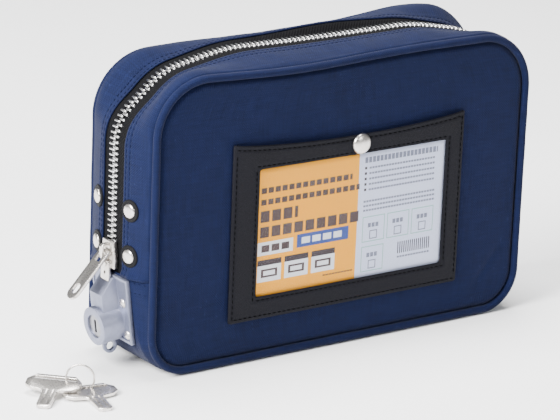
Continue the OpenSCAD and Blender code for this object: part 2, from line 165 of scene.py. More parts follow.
@dataclass(frozen=True)
class Bend:
    """Quarter turn of the rim.

    Attributes:
        centre: middle of the arc.
        radius: its radius.
        first: angle of its first outward normal, in degrees.
    """

    centre: Vector
    radius: float
    first: float

    @property
    def length(self) -> float:
        """Return the length of the arc."""
        return self.radius * math.pi / 2

    def at(self, s: float) -> tuple[Vector, Vector]:
        """Return the point and outward normal at a distance s along the arc."""
        turn = math.radians(self.first) - s / self.radius
        normal = Vector((math.cos(turn), 0.0, math.sin(turn)))
        return self.centre + normal * self.radius, normal


class Rim:
    """Closed outline of the bag, walked from the left seam over the top and back under the floor."""

    def __init__(self) -> None:
        """Read the outline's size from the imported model."""
        low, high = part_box("rear_panel")
        inset = 0.0043
        self.half_w = high[0] + inset
        self.top = high[2] + inset
        self.floor = low[2] - inset
        self.top_r = 0.038
        self.foot_r = 0.027
        self.seam = 0.063
        self.half_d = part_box("rear_panel")[1][1]
        w, rt, rb = self.half_w, self.top_r, self.foot_r
        up, right = Vector((0, 0, 1)), Vector((1, 0, 0))
        side = self.top - rt - self.seam
        cheek = self.seam - self.floor - rb
        self.parts: list[Run | Bend] = [
            Run(Vector((-w, 0, self.seam)), up, side),
            Bend(Vector((rt - w, 0, self.top - rt)), rt, 180.0),
            Run(Vector((rt - w, 0, self.top)), right, 2 * (w - rt)),
            Bend(Vector((w - rt, 0, self.top - rt)), rt, 90.0),
            Run(Vector((w, 0, self.top - rt)), -up, side),
            Run(Vector((w, 0, self.seam)), -up, cheek),
            Bend(Vector((w - rb, 0, self.floor + rb)), rb, 0.0),
            Run(Vector((w - rb, 0, self.floor)), -right, 2 * (w - rb)),
            Bend(Vector((rb - w, 0, self.floor + rb)), rb, -90.0),
            Run(Vector((-w, 0, self.floor + rb)), up, cheek),
        ]
        self.upper = sum(part.length for part in self.parts[:5])
        self.total = sum(part.length for part in self.parts)

    def at(self, s: float) -> tuple[Vector, Vector]:
        """Return the point and outward normal at a distance s round the rim."""
        left = s % self.total if s > self.total else s
        for part in self.parts:
            if left <= part.length:
                return part.at(left)
            left -= part.length
        return self.parts[-1].at(self.parts[-1].length)

    def place(self, s: float, out: float, y: float) -> Vector:
        """Return a point at a distance s round the rim, out from it, at the depth y."""
        point, normal = self.at(s)
        point = point + normal * out
        point.y = y
        return point

    def half_width(self, z: float, inset: float) -> float:
        """Return half the width of the outline, inset all round, at the height z."""
        w = self.half_w - inset
        for radius, centre, beyond in (
            (self.top_r - inset, self.top - self.top_r, z > self.top - self.top_r),
            (self.foot_r - inset, self.floor + self.foot_r, z < self.floor + self.foot_r),
        ):
            if beyond:
                rise = min(abs(z - centre), radius)
                return w - radius + math.sqrt(max(radius**2 - rise**2, 0.0))
        return w


@dataclass(frozen=True)
class Drape:
    """Slack of the cloth: how far the sewn shell hangs from its drawn place.

    Attributes:
        front_sag: drop of the front top edge, left of its middle.
        zip_sag: drop of the zip in the middle of the top.
        hem_lift: rise of the rear strip's hem beside the sagging zip.
        left_lift: rise of the rear top edge on the left.
        right_lift: rise of the rear top edge on the right.
        sway: sideways lean of the top edges.
        pinch: how far the zip is drawn in at the middle of each top corner.
        pinch_over: length of the top over which the zip is drawn in.
        pinch_down: length of the end over which it is drawn in.
    """

    front_sag: float = 0.0028
    zip_sag: float = 0.0026
    hem_lift: float = 0.0030
    left_lift: float = 0.0016
    right_lift: float = 0.0068
    sway: float = 0.0016
    pinch: float = 0.0115
    pinch_over: float = 0.078
    pinch_down: float = 0.038

    def drawn_in(self, p: Vector) -> Vector:
        """Return how far the corner's tight zip pulls a point inwards."""
        share = 1.0 - ease(0.0100, SEAM_Y, abs(p.y))
        over = abs(p.x) - (RIM.half_w - RIM.top_r)
        above = p.z - (RIM.top - RIM.top_r)
        if share <= 0.0 or above < -self.pinch_down:
            return Vector((0.0, 0.0, 0.0))
        quarter = RIM.top_r * math.pi / 4
        if over > 0.0 and above > 0.0:
            normal = Vector((over, 0.0, above)).normalized()
            along = (math.atan2(above, over) - math.pi / 4) * RIM.top_r
        elif above > 0.0:
            normal, along = Vector((0.0, 0.0, 1.0)), quarter - over
        else:
            normal, along = Vector((1.0, 0.0, 0.0)), above - quarter
        reach = self.pinch_over if along > 0.0 else self.pinch_down
        swell = math.cos(math.pi / 2 * min(abs(along) / reach, 1.0)) ** 2
        pull = normal * (-self.pinch * share * swell)
        pull.x = math.copysign(1.0, p.x) * pull.x
        return pull

    def settle(self, p: Vector) -> Vector:
        """Return where a point of the drawn shell comes to lie."""
        pull = self.drawn_in(p)
        high = ease(0.150, 0.190, p.z)
        if high <= 0.0:
            return p + pull
        front = ease(0.004, 0.030, -p.y)
        hem = ease(0.0045, 0.0110, p.y)
        back = ease(0.0100, SEAM_Y, p.y)
        middle = 1.0 - max(front, hem)
        rise = -self.front_sag * hump(p.x, -0.040, 0.062) * front
        rise -= self.zip_sag * (1.0 - min(abs(p.x) / 0.125, 1.0) ** 2) * middle
        rise += self.hem_lift * hump(p.x, 0.014, 0.042) * hem * (1.0 - 0.7 * back)
        rise += self.left_lift * hump(p.x, -0.078, 0.036) * back
        rise += self.right_lift * hump(p.x, 0.092, 0.042) * back
        lean = self.sway * (math.sin(p.x * 31.0 + 0.8) * back + 0.6 * math.sin(p.x * 27.0) * front)
        return p + pull + Vector((0.0, lean * high, rise * high))


RIM = Rim()
DRAPE = Drape()


def crown(y: float) -> float:
    """Return how far the zip side stands out of the outline at the depth y."""
    return 0.0075 * (1.0 - (y / RIM.half_d) ** 2)


@dataclass(frozen=True)
class Fold:
    """Band of cloth over which the front cover folds away from the bag.

    Attributes:
        start: point up to which the cloth stays with the bag.
        end: point past which it turns with the cover.
        calm: length over which a rigid piece's share of the turn is spread.
    """

    start: tuple[float, float, float] = (0.0, -0.032, 0.048)
    end: tuple[float, float, float] = (0.0, -0.0462, 0.0679)
    calm: float = 1.0

    def across(self, piece: bpy.types.Object) -> None:
        """Bake a piece of the front in place; the fold's ends are read, but nothing turns the piece over the
        fold.
        """
        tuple(self.start)
        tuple(self.end)
        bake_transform(piece)

    def rigid(self, piece: bpy.types.Object, spot: Vector) -> None:
        """Work out the stretch of fold a rigid piece would turn over, and bake it in place; nothing turns
        the piece.
        """
        start, way = Vector(self.start), Vector(self.end) - Vector(self.start)
        part = min(max((spot - start).dot(way) / way.length_squared, 0.0), 1.0)
        reach = way.normalized() * self.calm
        low, high = spot - reach * part, spot + reach * (1.0 - part)
        tuple(low)
        tuple(high)
        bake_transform(piece)


FOLD = Fold()


def hold(piece: bpy.types.Object, side: Side) -> None:
    """Attach a rear piece of the shell to the bag's body; a front piece is only baked in place."""
    if side is Side.FRONT:
        FOLD.across(piece)
    else:
        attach(piece, Body.BAG.value)


# ---------------------------------------------------------------- mesh helpers


def finish_mesh(bm: bmesh.types.BMesh, name: str, sharp: float = 38.0) -> bpy.types.Object:
    """Turn a bmesh into a smooth-shaded object at the origin.

    Args:
        bm: the mesh, which is freed.
        name: the piece's name.
        sharp: angle in degrees past which an edge stays crisp.

    Returns:
        The new object.
    """
    mesh = bpy.data.meshes.new(name)
    bm.to_mesh(mesh)
    bm.free()
    mesh.polygons.foreach_set("use_smooth", [True] * len(mesh.polygons))
    mesh.set_sharp_from_angle(angle=math.radians(sharp))
    piece = bpy.data.objects.new(name, mesh)
    bpy.context.scene.collection.objects.link(piece)
    LOG.info("built %s: %d faces", name, len(mesh.polygons))
    return piece


def dress(piece: bpy.types.Object, material: bpy.types.Material) -> bpy.types.Object:
    """Give a piece its material and return it."""
    piece.data.materials.clear()
    piece.data.materials.append(material)
    return piece


def cloth_sheet(
    name: str,
    cells: tuple[int, int],
    span: tuple[float, float],
    place: Place,
    facing: Callable[[Vector], Vector],
    thickness: float = 0.0,
    closed: bool = False,
) -> bpy.types.Object:
    """Make a sheet by laying a grid over a surface.

    Args:
        name: the piece's name.
        cells: number of cells along and across.
        span: real length along and across, which scales the UV map to metres.
        place: gives the point for fractions 0 to 1 along and across.
        facing: gives a vector that the sheet faces, at a point of it.
        thickness: wall that is added behind the sheet.
        closed: whether the sheet's ends meet and are merged.

    Returns:
        The new object, with a UV map in metres.
    """
    bm = bmesh.new()
    bmesh.ops.create_grid(bm, x_segments=cells[0], y_segments=cells[1], size=0.5)
    uv = bm.loops.layers.uv.new("weave")
    for face in bm.faces:
        for loop in face.loops:
            loop[uv].uv = ((loop.vert.co.x + 0.5) * span[0], (loop.vert.co.y + 0.5) * span[1])
    for vert in bm.verts:
        vert.co = place(vert.co.x + 0.5, vert.co.y + 0.5)
    if closed:
        bmesh.ops.remove_doubles(bm, verts=bm.verts, dist=2e-6)
    bm.normal_update()
    bm.faces.ensure_lookup_table()
    probe = bm.faces[len(bm.faces) // 2]
    if probe.normal.dot(facing(probe.calc_center_median())) < 0:
        bmesh.ops.reverse_faces(bm, faces=bm.faces)
    piece = finish_mesh(bm, name, 60.0)
    if thickness:
        wall = piece.modifiers.new("wall", "SOLIDIFY")
        wall.thickness = thickness
        wall.offset = -1.0
    return piece


def turned(
    bm: bmesh.types.BMesh, profile: Sequence[tuple[float, float]], where: Matrix, steps: int = 40
) -> None:
    """Spin a profile about the local Z axis and put it in place.

    Args:
        bm: mesh that the turned shape is added to.
        profile: radius and height of each point, from the axis outwards and back.
        where: places the shape; its Z axis is the axis of the spin.
        steps: facets round the axis.
    """
    part = bmesh.new()
    chain = [part.verts.new((radius, 0.0, height)) for radius, height in profile]
    edges = [part.edges.new(pair) for pair in zip(chain, chain[1:])]
    bmesh.ops.spin(
        part, geom=chain + edges, cent=(0, 0, 0), axis=(0, 0, 1), angle=math.tau, steps=steps, use_merge=True
    )
    bmesh.ops.remove_doubles(part, verts=part.verts, dist=1e-6)
    bmesh.ops.recalc_face_normals(part, faces=part.faces)
    bmesh.ops.transform(part, matrix=where, verts=part.verts)
    mesh = bpy.data.meshes.new("turned")
    part.to_mesh(mesh)
    part.free()
    bm.from_mesh(mesh)
    bpy.data.meshes.remove(mesh)


def axes(origin: Vector, outward: Vector, along: Vector) -> Matrix:
    """Build a frame from two directions.

    Args:
        origin: where the frame stands.
        outward: its Z axis.
        along: roughly its X axis.

    Returns:
        A matrix that takes local points to the model.
    """
    z = outward.normalized()
    y = z.cross(along).normalized()
    x = y.cross(z)
    turn = Matrix((x, y, z)).transposed().to_4x4()
    return Matrix.Translation(origin) @ turn


def softened(node: str, name: str, width: float, sharp: float = 28.0) -> bpy.types.Object:
    """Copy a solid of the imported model, merge it and round its edges.

    Args:
        node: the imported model's node.
        name: the piece's name.
        width: width of the rounding; 0 leaves the edges.
        sharp: angle in degrees past which an edge is rounded.

    Returns:
        A new piece that replaces the node.
    """
    bm = bmesh.new()
    bm.from_mesh(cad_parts[node].data)
    bmesh.ops.remove_doubles(bm, verts=bm.verts, dist=1e-6)
    bmesh.ops.dissolve_limit(
        bm, angle_limit=math.radians(1.0), use_dissolve_boundaries=False, verts=bm.verts, edges=bm.edges
    )
    if width:
        edges = [e for e in bm.edges if e.is_manifold and e.calc_face_angle(0.0) > math.radians(sharp)]
        bmesh.ops.bevel(
            bm,
            geom=edges,
            offset=width,
            offset_type="OFFSET",
            segments=2,
            profile=0.5,
            affect="EDGES",
            clamp_overlap=True,
            material=-1,
        )
    bmesh.ops.triangulate(bm, faces=[f for f in bm.faces if len(f.verts) > 4])
    piece = finish_mesh(bm, name, 30.0)
    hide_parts(node)
    return piece


@dataclass
class StitchLine:
    """A row of thread laid along a path.

    Attributes:
        name: the piece's name.
        length: length of one stitch.
        gap: distance between two stitches.
        radius: half the thread's width.
    """

    name: str
    length: float = 0.0026
    gap: float = 0.0008
    radius: float = 0.00028
    bm: bmesh.types.BMesh = field(default_factory=bmesh.new)

    def sew(
        self, path: Callable[[float], Vector], total: float, outward: Callable[[Vector], Vector]
    ) -> None:
        """Lay stitches along a path.

        Args:
            path: gives the point at a distance along the path.
            total: the path's length.
            outward: gives the cloth's outward direction at a point.
        """
        step = self.length + self.gap
        for i in range(int(total / step)):
            a, b = path(i * step), path(i * step + self.length)
            middle = (a + b) / 2
            where = axes(middle, outward(middle), b - a)
            shape = Matrix.Diagonal((self.length * 0.52, self.radius, self.radius * 0.8, 1.0))
            bmesh.ops.create_icosphere(self.bm, subdivisions=1, radius=1.0, matrix=where @ shape)

    def done(self, side: Side, material: bpy.types.Material) -> bpy.types.Object:
        """Finish the row and let it ride with its cloth.

        Args:
            side: side of the shell that it is sewn to.
            material: the thread.

        Returns:
            The piece.
        """
        piece = dress(finish_mesh(self.bm, self.name, 80.0), material)
        hold(piece, side)
        return piece


# ---------------------------------------------------------------- finishes


class Net:
    """Short way to add and join shader nodes in one tree."""

    def __init__(self, tree: bpy.types.NodeTree) -> None:
        """Keep the tree that nodes are added to."""
        self.tree = tree

    def add(self, kind: str, **settings: object) -> bpy.types.Node:
        """Add a node and set its properties.

        Args:
            kind: the node's type name without its ShaderNode prefix.
            **settings: properties of the node.

        Returns:
            The node.
        """
        node = self.tree.nodes.new("ShaderNode" + kind)
        for key, value in settings.items():
            setattr(node, key, value)
        return node

    def feed(self, socket: bpy.types.NodeSocket, value: object) -> None:
        """Link an output to a socket, or set the socket to a value."""
        if isinstance(value, bpy.types.NodeSocket):
            self.tree.links.new(value, socket)
        elif value is not None:
            socket.default_value = value

    def sum(self, operation: str, *values: object) -> bpy.types.NodeSocket:
        """Add a Math node on the given values and return its output."""
        node = self.add("Math", operation=operation)
        for socket, value in zip(node.inputs, values):
            self.feed(socket, value)
        return node.outputs[0]

    def blend(self, factor: object, a: object, b: object) -> bpy.types.NodeSocket:
        """Mix two colours and return the result."""
        node = self.add("Mix", data_type="RGBA")
        self.feed(node.inputs[0], factor)
        self.feed(node.inputs[6], (*a, 1.0) if isinstance(a, tuple) else a)
        self.feed(node.inputs[7], (*b, 1.0) if isinstance(b, tuple) else b)
        return node.outputs[2]

    def noise(self, vector: object, scale: float, detail: float = 2.0) -> bpy.types.NodeSocket:
        """Add noise and return its value."""
        node = self.add("TexNoise")
        self.feed(node.inputs["Vector"], vector)
        node.inputs["Scale"].default_value = scale
        node.inputs["Detail"].default_value = detail
        return node.outputs[0]

    def stretch(self, vector: object, scale: tuple[float, float, float]) -> bpy.types.NodeSocket:
        """Scale a vector and return it."""
        node = self.add("Mapping")
        self.feed(node.inputs["Vector"], vector)
        node.inputs["Scale"].default_value = scale
        return node.outputs[0]

    def span(self, value: object, low: float, high: float) -> bpy.types.NodeSocket:
        """Spread a value from 0..1 to low..high, clamped."""
        node = self.add("MapRange", clamp=True)
        self.feed(node.inputs[0], value)
        node.inputs[3].default_value = low
        node.inputs[4].default_value = high
        return node.outputs[0]


def group(name: str, inputs: dict[str, object], outputs: Iterable[str]) -> tuple[Net, dict, dict]:
    """Start a shader node group.

    Args:
        name: the group's name.
        inputs: default of each input; a float, or None for a vector.
        outputs: names of its value outputs.

    Returns:
        The net, the group's inputs by name, and its output sockets by name.
    """
    tree = bpy.data.node_groups.new(name, "ShaderNodeTree")
    for key, value in inputs.items():
        kind = "NodeSocketVector" if value is None else "NodeSocketFloat"
        socket = tree.interface.new_socket(key, in_out="INPUT", socket_type=kind)
        if value is not None:
            socket.default_value = value
    for key in outputs:
        tree.interface.new_socket(key, in_out="OUTPUT", socket_type="NodeSocketFloat")
    start = tree.nodes.new("NodeGroupInput")
    end = tree.nodes.new("NodeGroupOutput")
    net = Net(tree)
    return net, {s.name: s for s in start.outputs if s.name}, {s.name: s for s in end.inputs if s.name}


def weave_group() -> bpy.types.NodeTree:
    """Build the plain weave: threads with slubs, as a height and a colour mask that paints shade into the
    gaps between threads and light onto their tops and slubs, plus random bands of tone.
    """
    sockets = {"Vector": None, "Pitch": 0.0008, "Slub": 0.5}
    net, given, out = group("plain_weave", sockets, ("Height", "Shade"))
    cell = net.add("VectorMath", operation="SCALE")
    net.feed(cell.inputs[0], given["Vector"])
    net.feed(cell.inputs["Scale"], net.sum("DIVIDE", math.pi, given["Pitch"]))
    parts = net.add("SeparateXYZ")
    net.feed(parts.inputs[0], cell.outputs[0])
    over = net.sum("MULTIPLY", net.sum("SINE", parts.outputs[0]), net.sum("SINE", parts.outputs[1]))
    warp = net.noise(net.stretch(given["Vector"], (1500.0, 60.0, 1.0)), 1.0)
    weft = net.noise(net.stretch(given["Vector"], (60.0, 1500.0, 1.0)), 1.0)
    threads = net.sum("SUBTRACT", net.sum("ADD", warp, weft), 1.0)
    slub = net.sum("MULTIPLY", threads, given["Slub"])
    thick = net.noise(net.stretch(given["Vector"], (760.0, 60.0, 1.0)), 1.0, 1.0)
    thin = net.noise(net.stretch(given["Vector"], (60.0, 760.0, 1.0)), 1.0, 1.0)
    bands = net.sum("MULTIPLY_ADD", net.sum("ADD", thick, thin), 0.8, -0.8)
    net.feed(out["Height"], net.sum("ADD", net.sum("MULTIPLY_ADD", over, 0.5, 0.5), slub))
    # Painted shade: the weave's height also sets its colour, dark in the gaps between threads and light on
    # their tops; the slubs add to both, and the bands are random tone.
    painted_weave_shade = net.sum("MULTIPLY_ADD", over, 0.22, 0.5)
    net.feed(out["Shade"], net.sum("ADD", painted_weave_shade, net.sum("ADD", slub, bands)))
    return net.tree


def mottle_group() -> bpy.types.NodeTree:
    """Build slow uneven colour with a little lint, as a cloud and a dust mask."""
    net, given, out = group("cloth_mottle", {"Vector": None, "Size": 0.05}, ("Cloud", "Dust"))
    big = net.add("TexNoise")
    net.feed(big.inputs["Vector"], given["Vector"])
    net.feed(big.inputs["Scale"], net.sum("DIVIDE", 1.0, given["Size"]))
    big.inputs["Detail"].default_value = 4.0
    speck = net.noise(given["Vector"], 420.0, 1.0)
    net.feed(out["Cloud"], big.outputs[0])
    net.feed(out["Dust"], net.sum("GREATER_THAN", speck, 0.74))
    return net.tree


def grain_group() -> bpy.types.NodeTree:
    """Build fine leather grain, as a height and a mask of painted shade in the grain's valleys."""
    net, given, out = group("leather_grain", {"Vector": None, "Density": 900.0}, ("Height", "Crease"))
    cells = net.add("TexVoronoi", feature="DISTANCE_TO_EDGE")
    net.feed(cells.inputs["Vector"], given["Vector"])
    net.feed(cells.inputs["Scale"], given["Density"])
    low = net.noise(given["Vector"], 160.0, 3.0)
    pebble = net.sum("MINIMUM", net.sum("MULTIPLY", cells.outputs["Distance"], 3.0), 1.0)
    net.feed(out["Height"], net.sum("MULTIPLY_ADD", low, 0.5, pebble))
    # Painted shade: the valleys between grain cells get the darker colour.
    net.feed(out["Crease"], net.sum("SUBTRACT", 1.0, pebble))
    return net.tree


def tarnish_group() -> bpy.types.NodeTree:
    """Build handled metal: cloudy tarnish and hairline scratches."""
    net, given, out = group("metal_wear", {"Vector": None, "Size": 0.004}, ("Cloud", "Scratch"))
    cloud = net.add("TexNoise")
    net.feed(cloud.inputs["Vector"], given["Vector"])
    net.feed(cloud.inputs["Scale"], net.sum("DIVIDE", 1.0, given["Size"]))
    cloud.inputs["Detail"].default_value = 5.0
    hair = net.noise(net.stretch(given["Vector"], (2600.0, 300.0, 190.0)), 1.0, 3.0)
    net.feed(out["Cloud"], cloud.outputs[0])
    net.feed(out["Scratch"], hair)
    return net.tree


def print_mark_group() -> bpy.types.NodeTree:
    """Build one printed mark: a filled box, or a row of short bars at a pitch."""
    names = {"Vector": None, "Left": 0.0, "Right": 0.0, "Low": 0.0, "High": 0.0, "Pitch": 0.0}
    net, given, out = group("print_mark", names, ("Mask",))
    parts = net.add("SeparateXYZ")
    net.feed(parts.inputs[0], given["Vector"])
    x, z = parts.outputs[0], parts.outputs[2]
    wide = net.sum("MINIMUM", net.sum("SUBTRACT", x, given["Left"]), net.sum("SUBTRACT", given["Right"], x))
    tall = net.sum("MINIMUM", net.sum("SUBTRACT", z, given["Low"]), net.sum("SUBTRACT", given["High"], z))
    inside = net.sum("GREATER_THAN", net.sum("MINIMUM", wide, tall), 0.0)
    blocks = net.sum("FRACT", net.sum("DIVIDE", net.sum("SUBTRACT", x, given["Left"]), given["Pitch"]))
    filled = net.sum("LESS_THAN", blocks, 0.78)
    broken = net.sum("GREATER_THAN", given["Pitch"], 0.0)
    whole = net.sum("SUBTRACT", 1.0, broken)
    net.feed(out["Mask"], net.sum("MULTIPLY", inside, net.sum("MAXIMUM", whole, filled)))
    return net.tree


class Effects(Enum):
    """Shared node groups, by the function that builds each."""

    WEAVE = "plain_weave"
    MOTTLE = "cloth_mottle"
    GRAIN = "leather_grain"
    WEAR = "metal_wear"
    MARK = "print_mark"


def build_effects() -> None:
    """Build every shared node group once."""
    for make in (weave_group, mottle_group, grain_group, tarnish_group, print_mark_group):
        LOG.info("effect %s", make().name)


def use(net: Net, effect: Effects, vector: object, **values: object) -> bpy.types.Node:
    """Place a shared effect in a material.

    Args:
        net: the material's net.
        effect: which effect.
        vector: coordinates for it.
        **values: its other inputs by name.

    Returns:
        The group node.
    """
    node = net.tree.nodes.new("ShaderNodeGroup")
    node.node_tree = bpy.data.node_groups[effect.value]
    net.feed(node.inputs["Vector"], vector)
    for key, value in values.items():
        net.feed(node.inputs[key], value)
    return node


def blank(name: str) -> tuple[bpy.types.Material, Net, bpy.types.Node]:
    """Start a material.

    Args:
        name: its name.

    Returns:
        The material, its net and its Principled shader.
    """
    material = bpy.data.materials.new(name)
    material.use_nodes = True
    tree = material.node_tree
    shader = tree.nodes["Principled BSDF"]
    return material, Net(tree), shader


def bump(net: Net, shader: bpy.types.Node, height: object, depth: float) -> None:
    """Drive a shader's normal from a height, with the given depth in metres."""
    node = net.add("Bump")
    node.inputs["Distance"].default_value = depth
    net.feed(node.inputs["Height"], height)
    net.feed(shader.inputs["Normal"], node.outputs[0])


@dataclass(frozen=True)
class Woven:
    """Woven cloth that reads the piece's own UV map.

    Attributes:
        name: material name.
        dark: colour in the gaps between threads, painted as shade.
        light: colour of the thread tops, painted as lit.
        pitch: distance between threads.
        slub: unevenness of the threads.
        relief: depth of the weave.
        sheen: strength of the soft edge light.
        roughness: of the thread.
    """

    name: str
    dark: Colour
    light: Colour
    pitch: float = 0.0008
    slub: float = 0.5
    relief: float = 0.0002
    sheen: float = 0.04
    roughness: float = 0.82

    def build(self) -> bpy.types.Material:
        """Make the material."""
        material, net, shader = blank(self.name)
        uv = net.add("UVMap", uv_map="weave").outputs[0]
        place = net.add("TexCoord").outputs["Object"]
        weave = use(net, Effects.WEAVE, uv, Pitch=self.pitch, Slub=self.slub)
        mottle = use(net, Effects.MOTTLE, place, Size=0.06)
        # Painted shade: the weave mask darkens the gaps between threads and lightens their tops, over random
        # bands of tone.
        body = net.blend(net.span(weave.outputs["Shade"], 0.0, 1.0), self.dark, self.light)
        faded = tuple(c * 1.5 for c in self.light)
        body = net.blend(net.span(mottle.outputs["Cloud"], 0.0, 0.35), body, faded)
        lint = tuple(c * 2.0 + 0.01 for c in self.light)
        body = net.blend(net.sum("MULTIPLY", mottle.outputs["Dust"], 0.25), body, lint)
        net.feed(shader.inputs["Base Color"], body)
        rough = net.span(mottle.outputs["Cloud"], self.roughness - 0.08, self.roughness)
        net.feed(shader.inputs["Roughness"], rough)
        shader.inputs["Specular IOR Level"].default_value = 0.07
        shader.inputs["Sheen Weight"].default_value = self.sheen
        shader.inputs["Sheen Roughness"].default_value = 0.45
        bump(net, shader, weave.outputs["Height"], self.relief)
        return material


@dataclass(frozen=True)
class Thread:
    """Sewing thread.

    Attributes:
        name: material name.
        colour: of the thread.
    """

    name: str
    colour: Colour

    def build(self) -> bpy.types.Material:
        """Make the material."""
        material, net, shader = blank(self.name)
        place = net.add("TexCoord").outputs["Object"]
        twist = net.noise(place, 3500.0, 1.0)
        dark = tuple(c * 0.5 for c in self.colour)
        net.feed(shader.inputs["Base Color"], net.blend(twist, dark, self.colour))
        shader.inputs["Roughness"].default_value = 0.85
        shader.inputs["Specular IOR Level"].default_value = 0.03
        bump(net, shader, twist, 0.0001)
        return material


@dataclass(frozen=True)
class Grained:
    """Synthetic leather.

    Attributes:
        name: material name.
        colour: of the skin.
        crease: colour painted as shade in the grain's valleys.
        density: grain cells per metre.
        roughness: of the skin.
    """

    name: str
    colour: Colour
    crease: Colour
    density: float = 1100.0
    roughness: float = 0.42

    def build(self) -> bpy.types.Material:
        """Make the material."""
        material, net, shader = blank(self.name)
        place = net.add("TexCoord").outputs["Object"]
        grain = use(net, Effects.GRAIN, place, Density=self.density)
        mottle = use(net, Effects.MOTTLE, place, Size=0.03)
        # Painted shade: the grain's valleys take the darker colour.
        body = net.blend(grain.outputs["Crease"], self.colour, self.crease)
        scuff = tuple(c * 1.8 for c in self.colour)
        body = net.blend(net.span(mottle.outputs["Cloud"], 0.0, 0.5), body, scuff)
        net.feed(shader.inputs["Base Color"], body)
        rough = net.span(mottle.outputs["Cloud"], self.roughness, self.roughness + 0.2)
        net.feed(shader.inputs["Roughness"], rough)
        shader.inputs["Specular IOR Level"].default_value = 0.07
        bump(net, shader, grain.outputs["Height"], 0.00012)
        return material


@dataclass(frozen=True)
class Plated:
    """Plated or cast metal with light wear.

    Attributes:
        name: material name.
        bright: clean colour.
        dull: tarnished colour.
        smooth: lowest roughness.
        rough: highest roughness.
        metallic: how metallic the surface is.
        wear: size of the tarnish clouds.
        relief: depth of the surface's unevenness.
    """

    name: str
    bright: Colour
    dull: Colour
    smooth: float
    rough: float
    metallic: float = 1.0
    wear: float = 0.004
    relief: float = 0.00002

    def build(self) -> bpy.types.Material:
        """Make the material."""
        material, net, shader = blank(self.name)
        place = net.add("TexCoord").outputs["Object"]
        worn = use(net, Effects.WEAR, place, Size=self.wear)
        cloud = net.span(worn.outputs["Cloud"], 0.0, 1.0)
        net.feed(shader.inputs["Base Color"], net.blend(cloud, self.bright, self.dull))
        clouded = net.sum("MULTIPLY", worn.outputs["Cloud"], 0.6)
        tone = net.sum("MULTIPLY_ADD", worn.outputs["Scratch"], 0.4, clouded)
        net.feed(shader.inputs["Roughness"], net.span(tone, self.smooth, self.rough))
        shader.inputs["Metallic"].default_value = self.metallic
        bump(net, shader, worn.outputs["Scratch"], self.relief)
        return material


@dataclass(frozen=True)
class SlottedCore(Plated):
    """Metal of the lock's plug, with painted shade on everything deeper than its face, as inside its key
    slot.

    Attributes:
        axis: unit direction from the plug's face inwards.
        face: distance of the face along that direction.
    """

    axis: Colour = (1.0, 0.0, 0.0)
    face: float = 0.0

    def build(self) -> bpy.types.Material:
        """Make the material."""
        material = super().build()
        net = Net(material.node_tree)
        shader = material.node_tree.nodes["Principled BSDF"]
        depth = net.add("VectorMath", operation="DOT_PRODUCT")
        net.feed(depth.inputs[0], net.add("TexCoord").outputs["Object"])
        depth.inputs[1].default_value = self.axis
        # Painted shade: every surface deeper than the plug's face, which is the inside of the key slot,
        # turns near black.
        inside = net.sum("GREATER_THAN", depth.outputs["Value"], self.face)
        metal = shader.inputs["Base Color"].links[0].from_socket
        net.feed(shader.inputs["Base Color"], net.blend(inside, metal, (0.006, 0.006, 0.007)))
        return material


@dataclass(frozen=True)
class ClearFilm:
    """Clear flexible film: see-through head on, glossy at a slant."""

    name: str = "clear_film"

    def build(self) -> bpy.types.Material:
        """Make the material."""
        material, net, shader = blank(self.name)
        place = net.add("TexCoord").outputs["Object"]
        wave = net.noise(place, 45.0, 2.0)
        gloss = net.add("LayerWeight")
        gloss.inputs["Blend"].default_value = 0.12
        haze = net.sum("MULTIPLY_ADD", wave, 0.02, 0.005)
        glare = net.sum("MULTIPLY", gloss.outputs["Fresnel"], 0.25)
        net.feed(shader.inputs["Alpha"], net.sum("ADD", glare, haze))
        net.feed(shader.inputs["Base Color"], net.blend(wave, (0.22, 0.24, 0.28), (0.34, 0.36, 0.40)))
        net.feed(shader.inputs["Roughness"], net.span(wave, 0.06, 0.16))
        bump(net, shader, wave, 0.0006)
        return material


@dataclass(frozen=True)
class Mark:
    """A printed box, placed by fractions of the window from its lower left corner."""

    left: float
    right: float
    low: float
    high: float
    ink: Colour
    pitch: float = 0.0


ORANGE: Colour = (0.74, 0.310, 0.0)
PAPER: Colour = (0.50, 0.54, 0.70)
BOX_WHITE: Colour = (0.60, 0.62, 0.66)
INK: Colour = (0.035, 0.025, 0.030)
HALF_INK: Colour = (0.055, 0.035, 0.035)
GREY_INK: Colour = (0.14, 0.15, 0.21)
BLUE_INK: Colour = (0.03, 0.055, 0.22)
PALE_INK: Colour = (0.20, 0.38, 0.34)


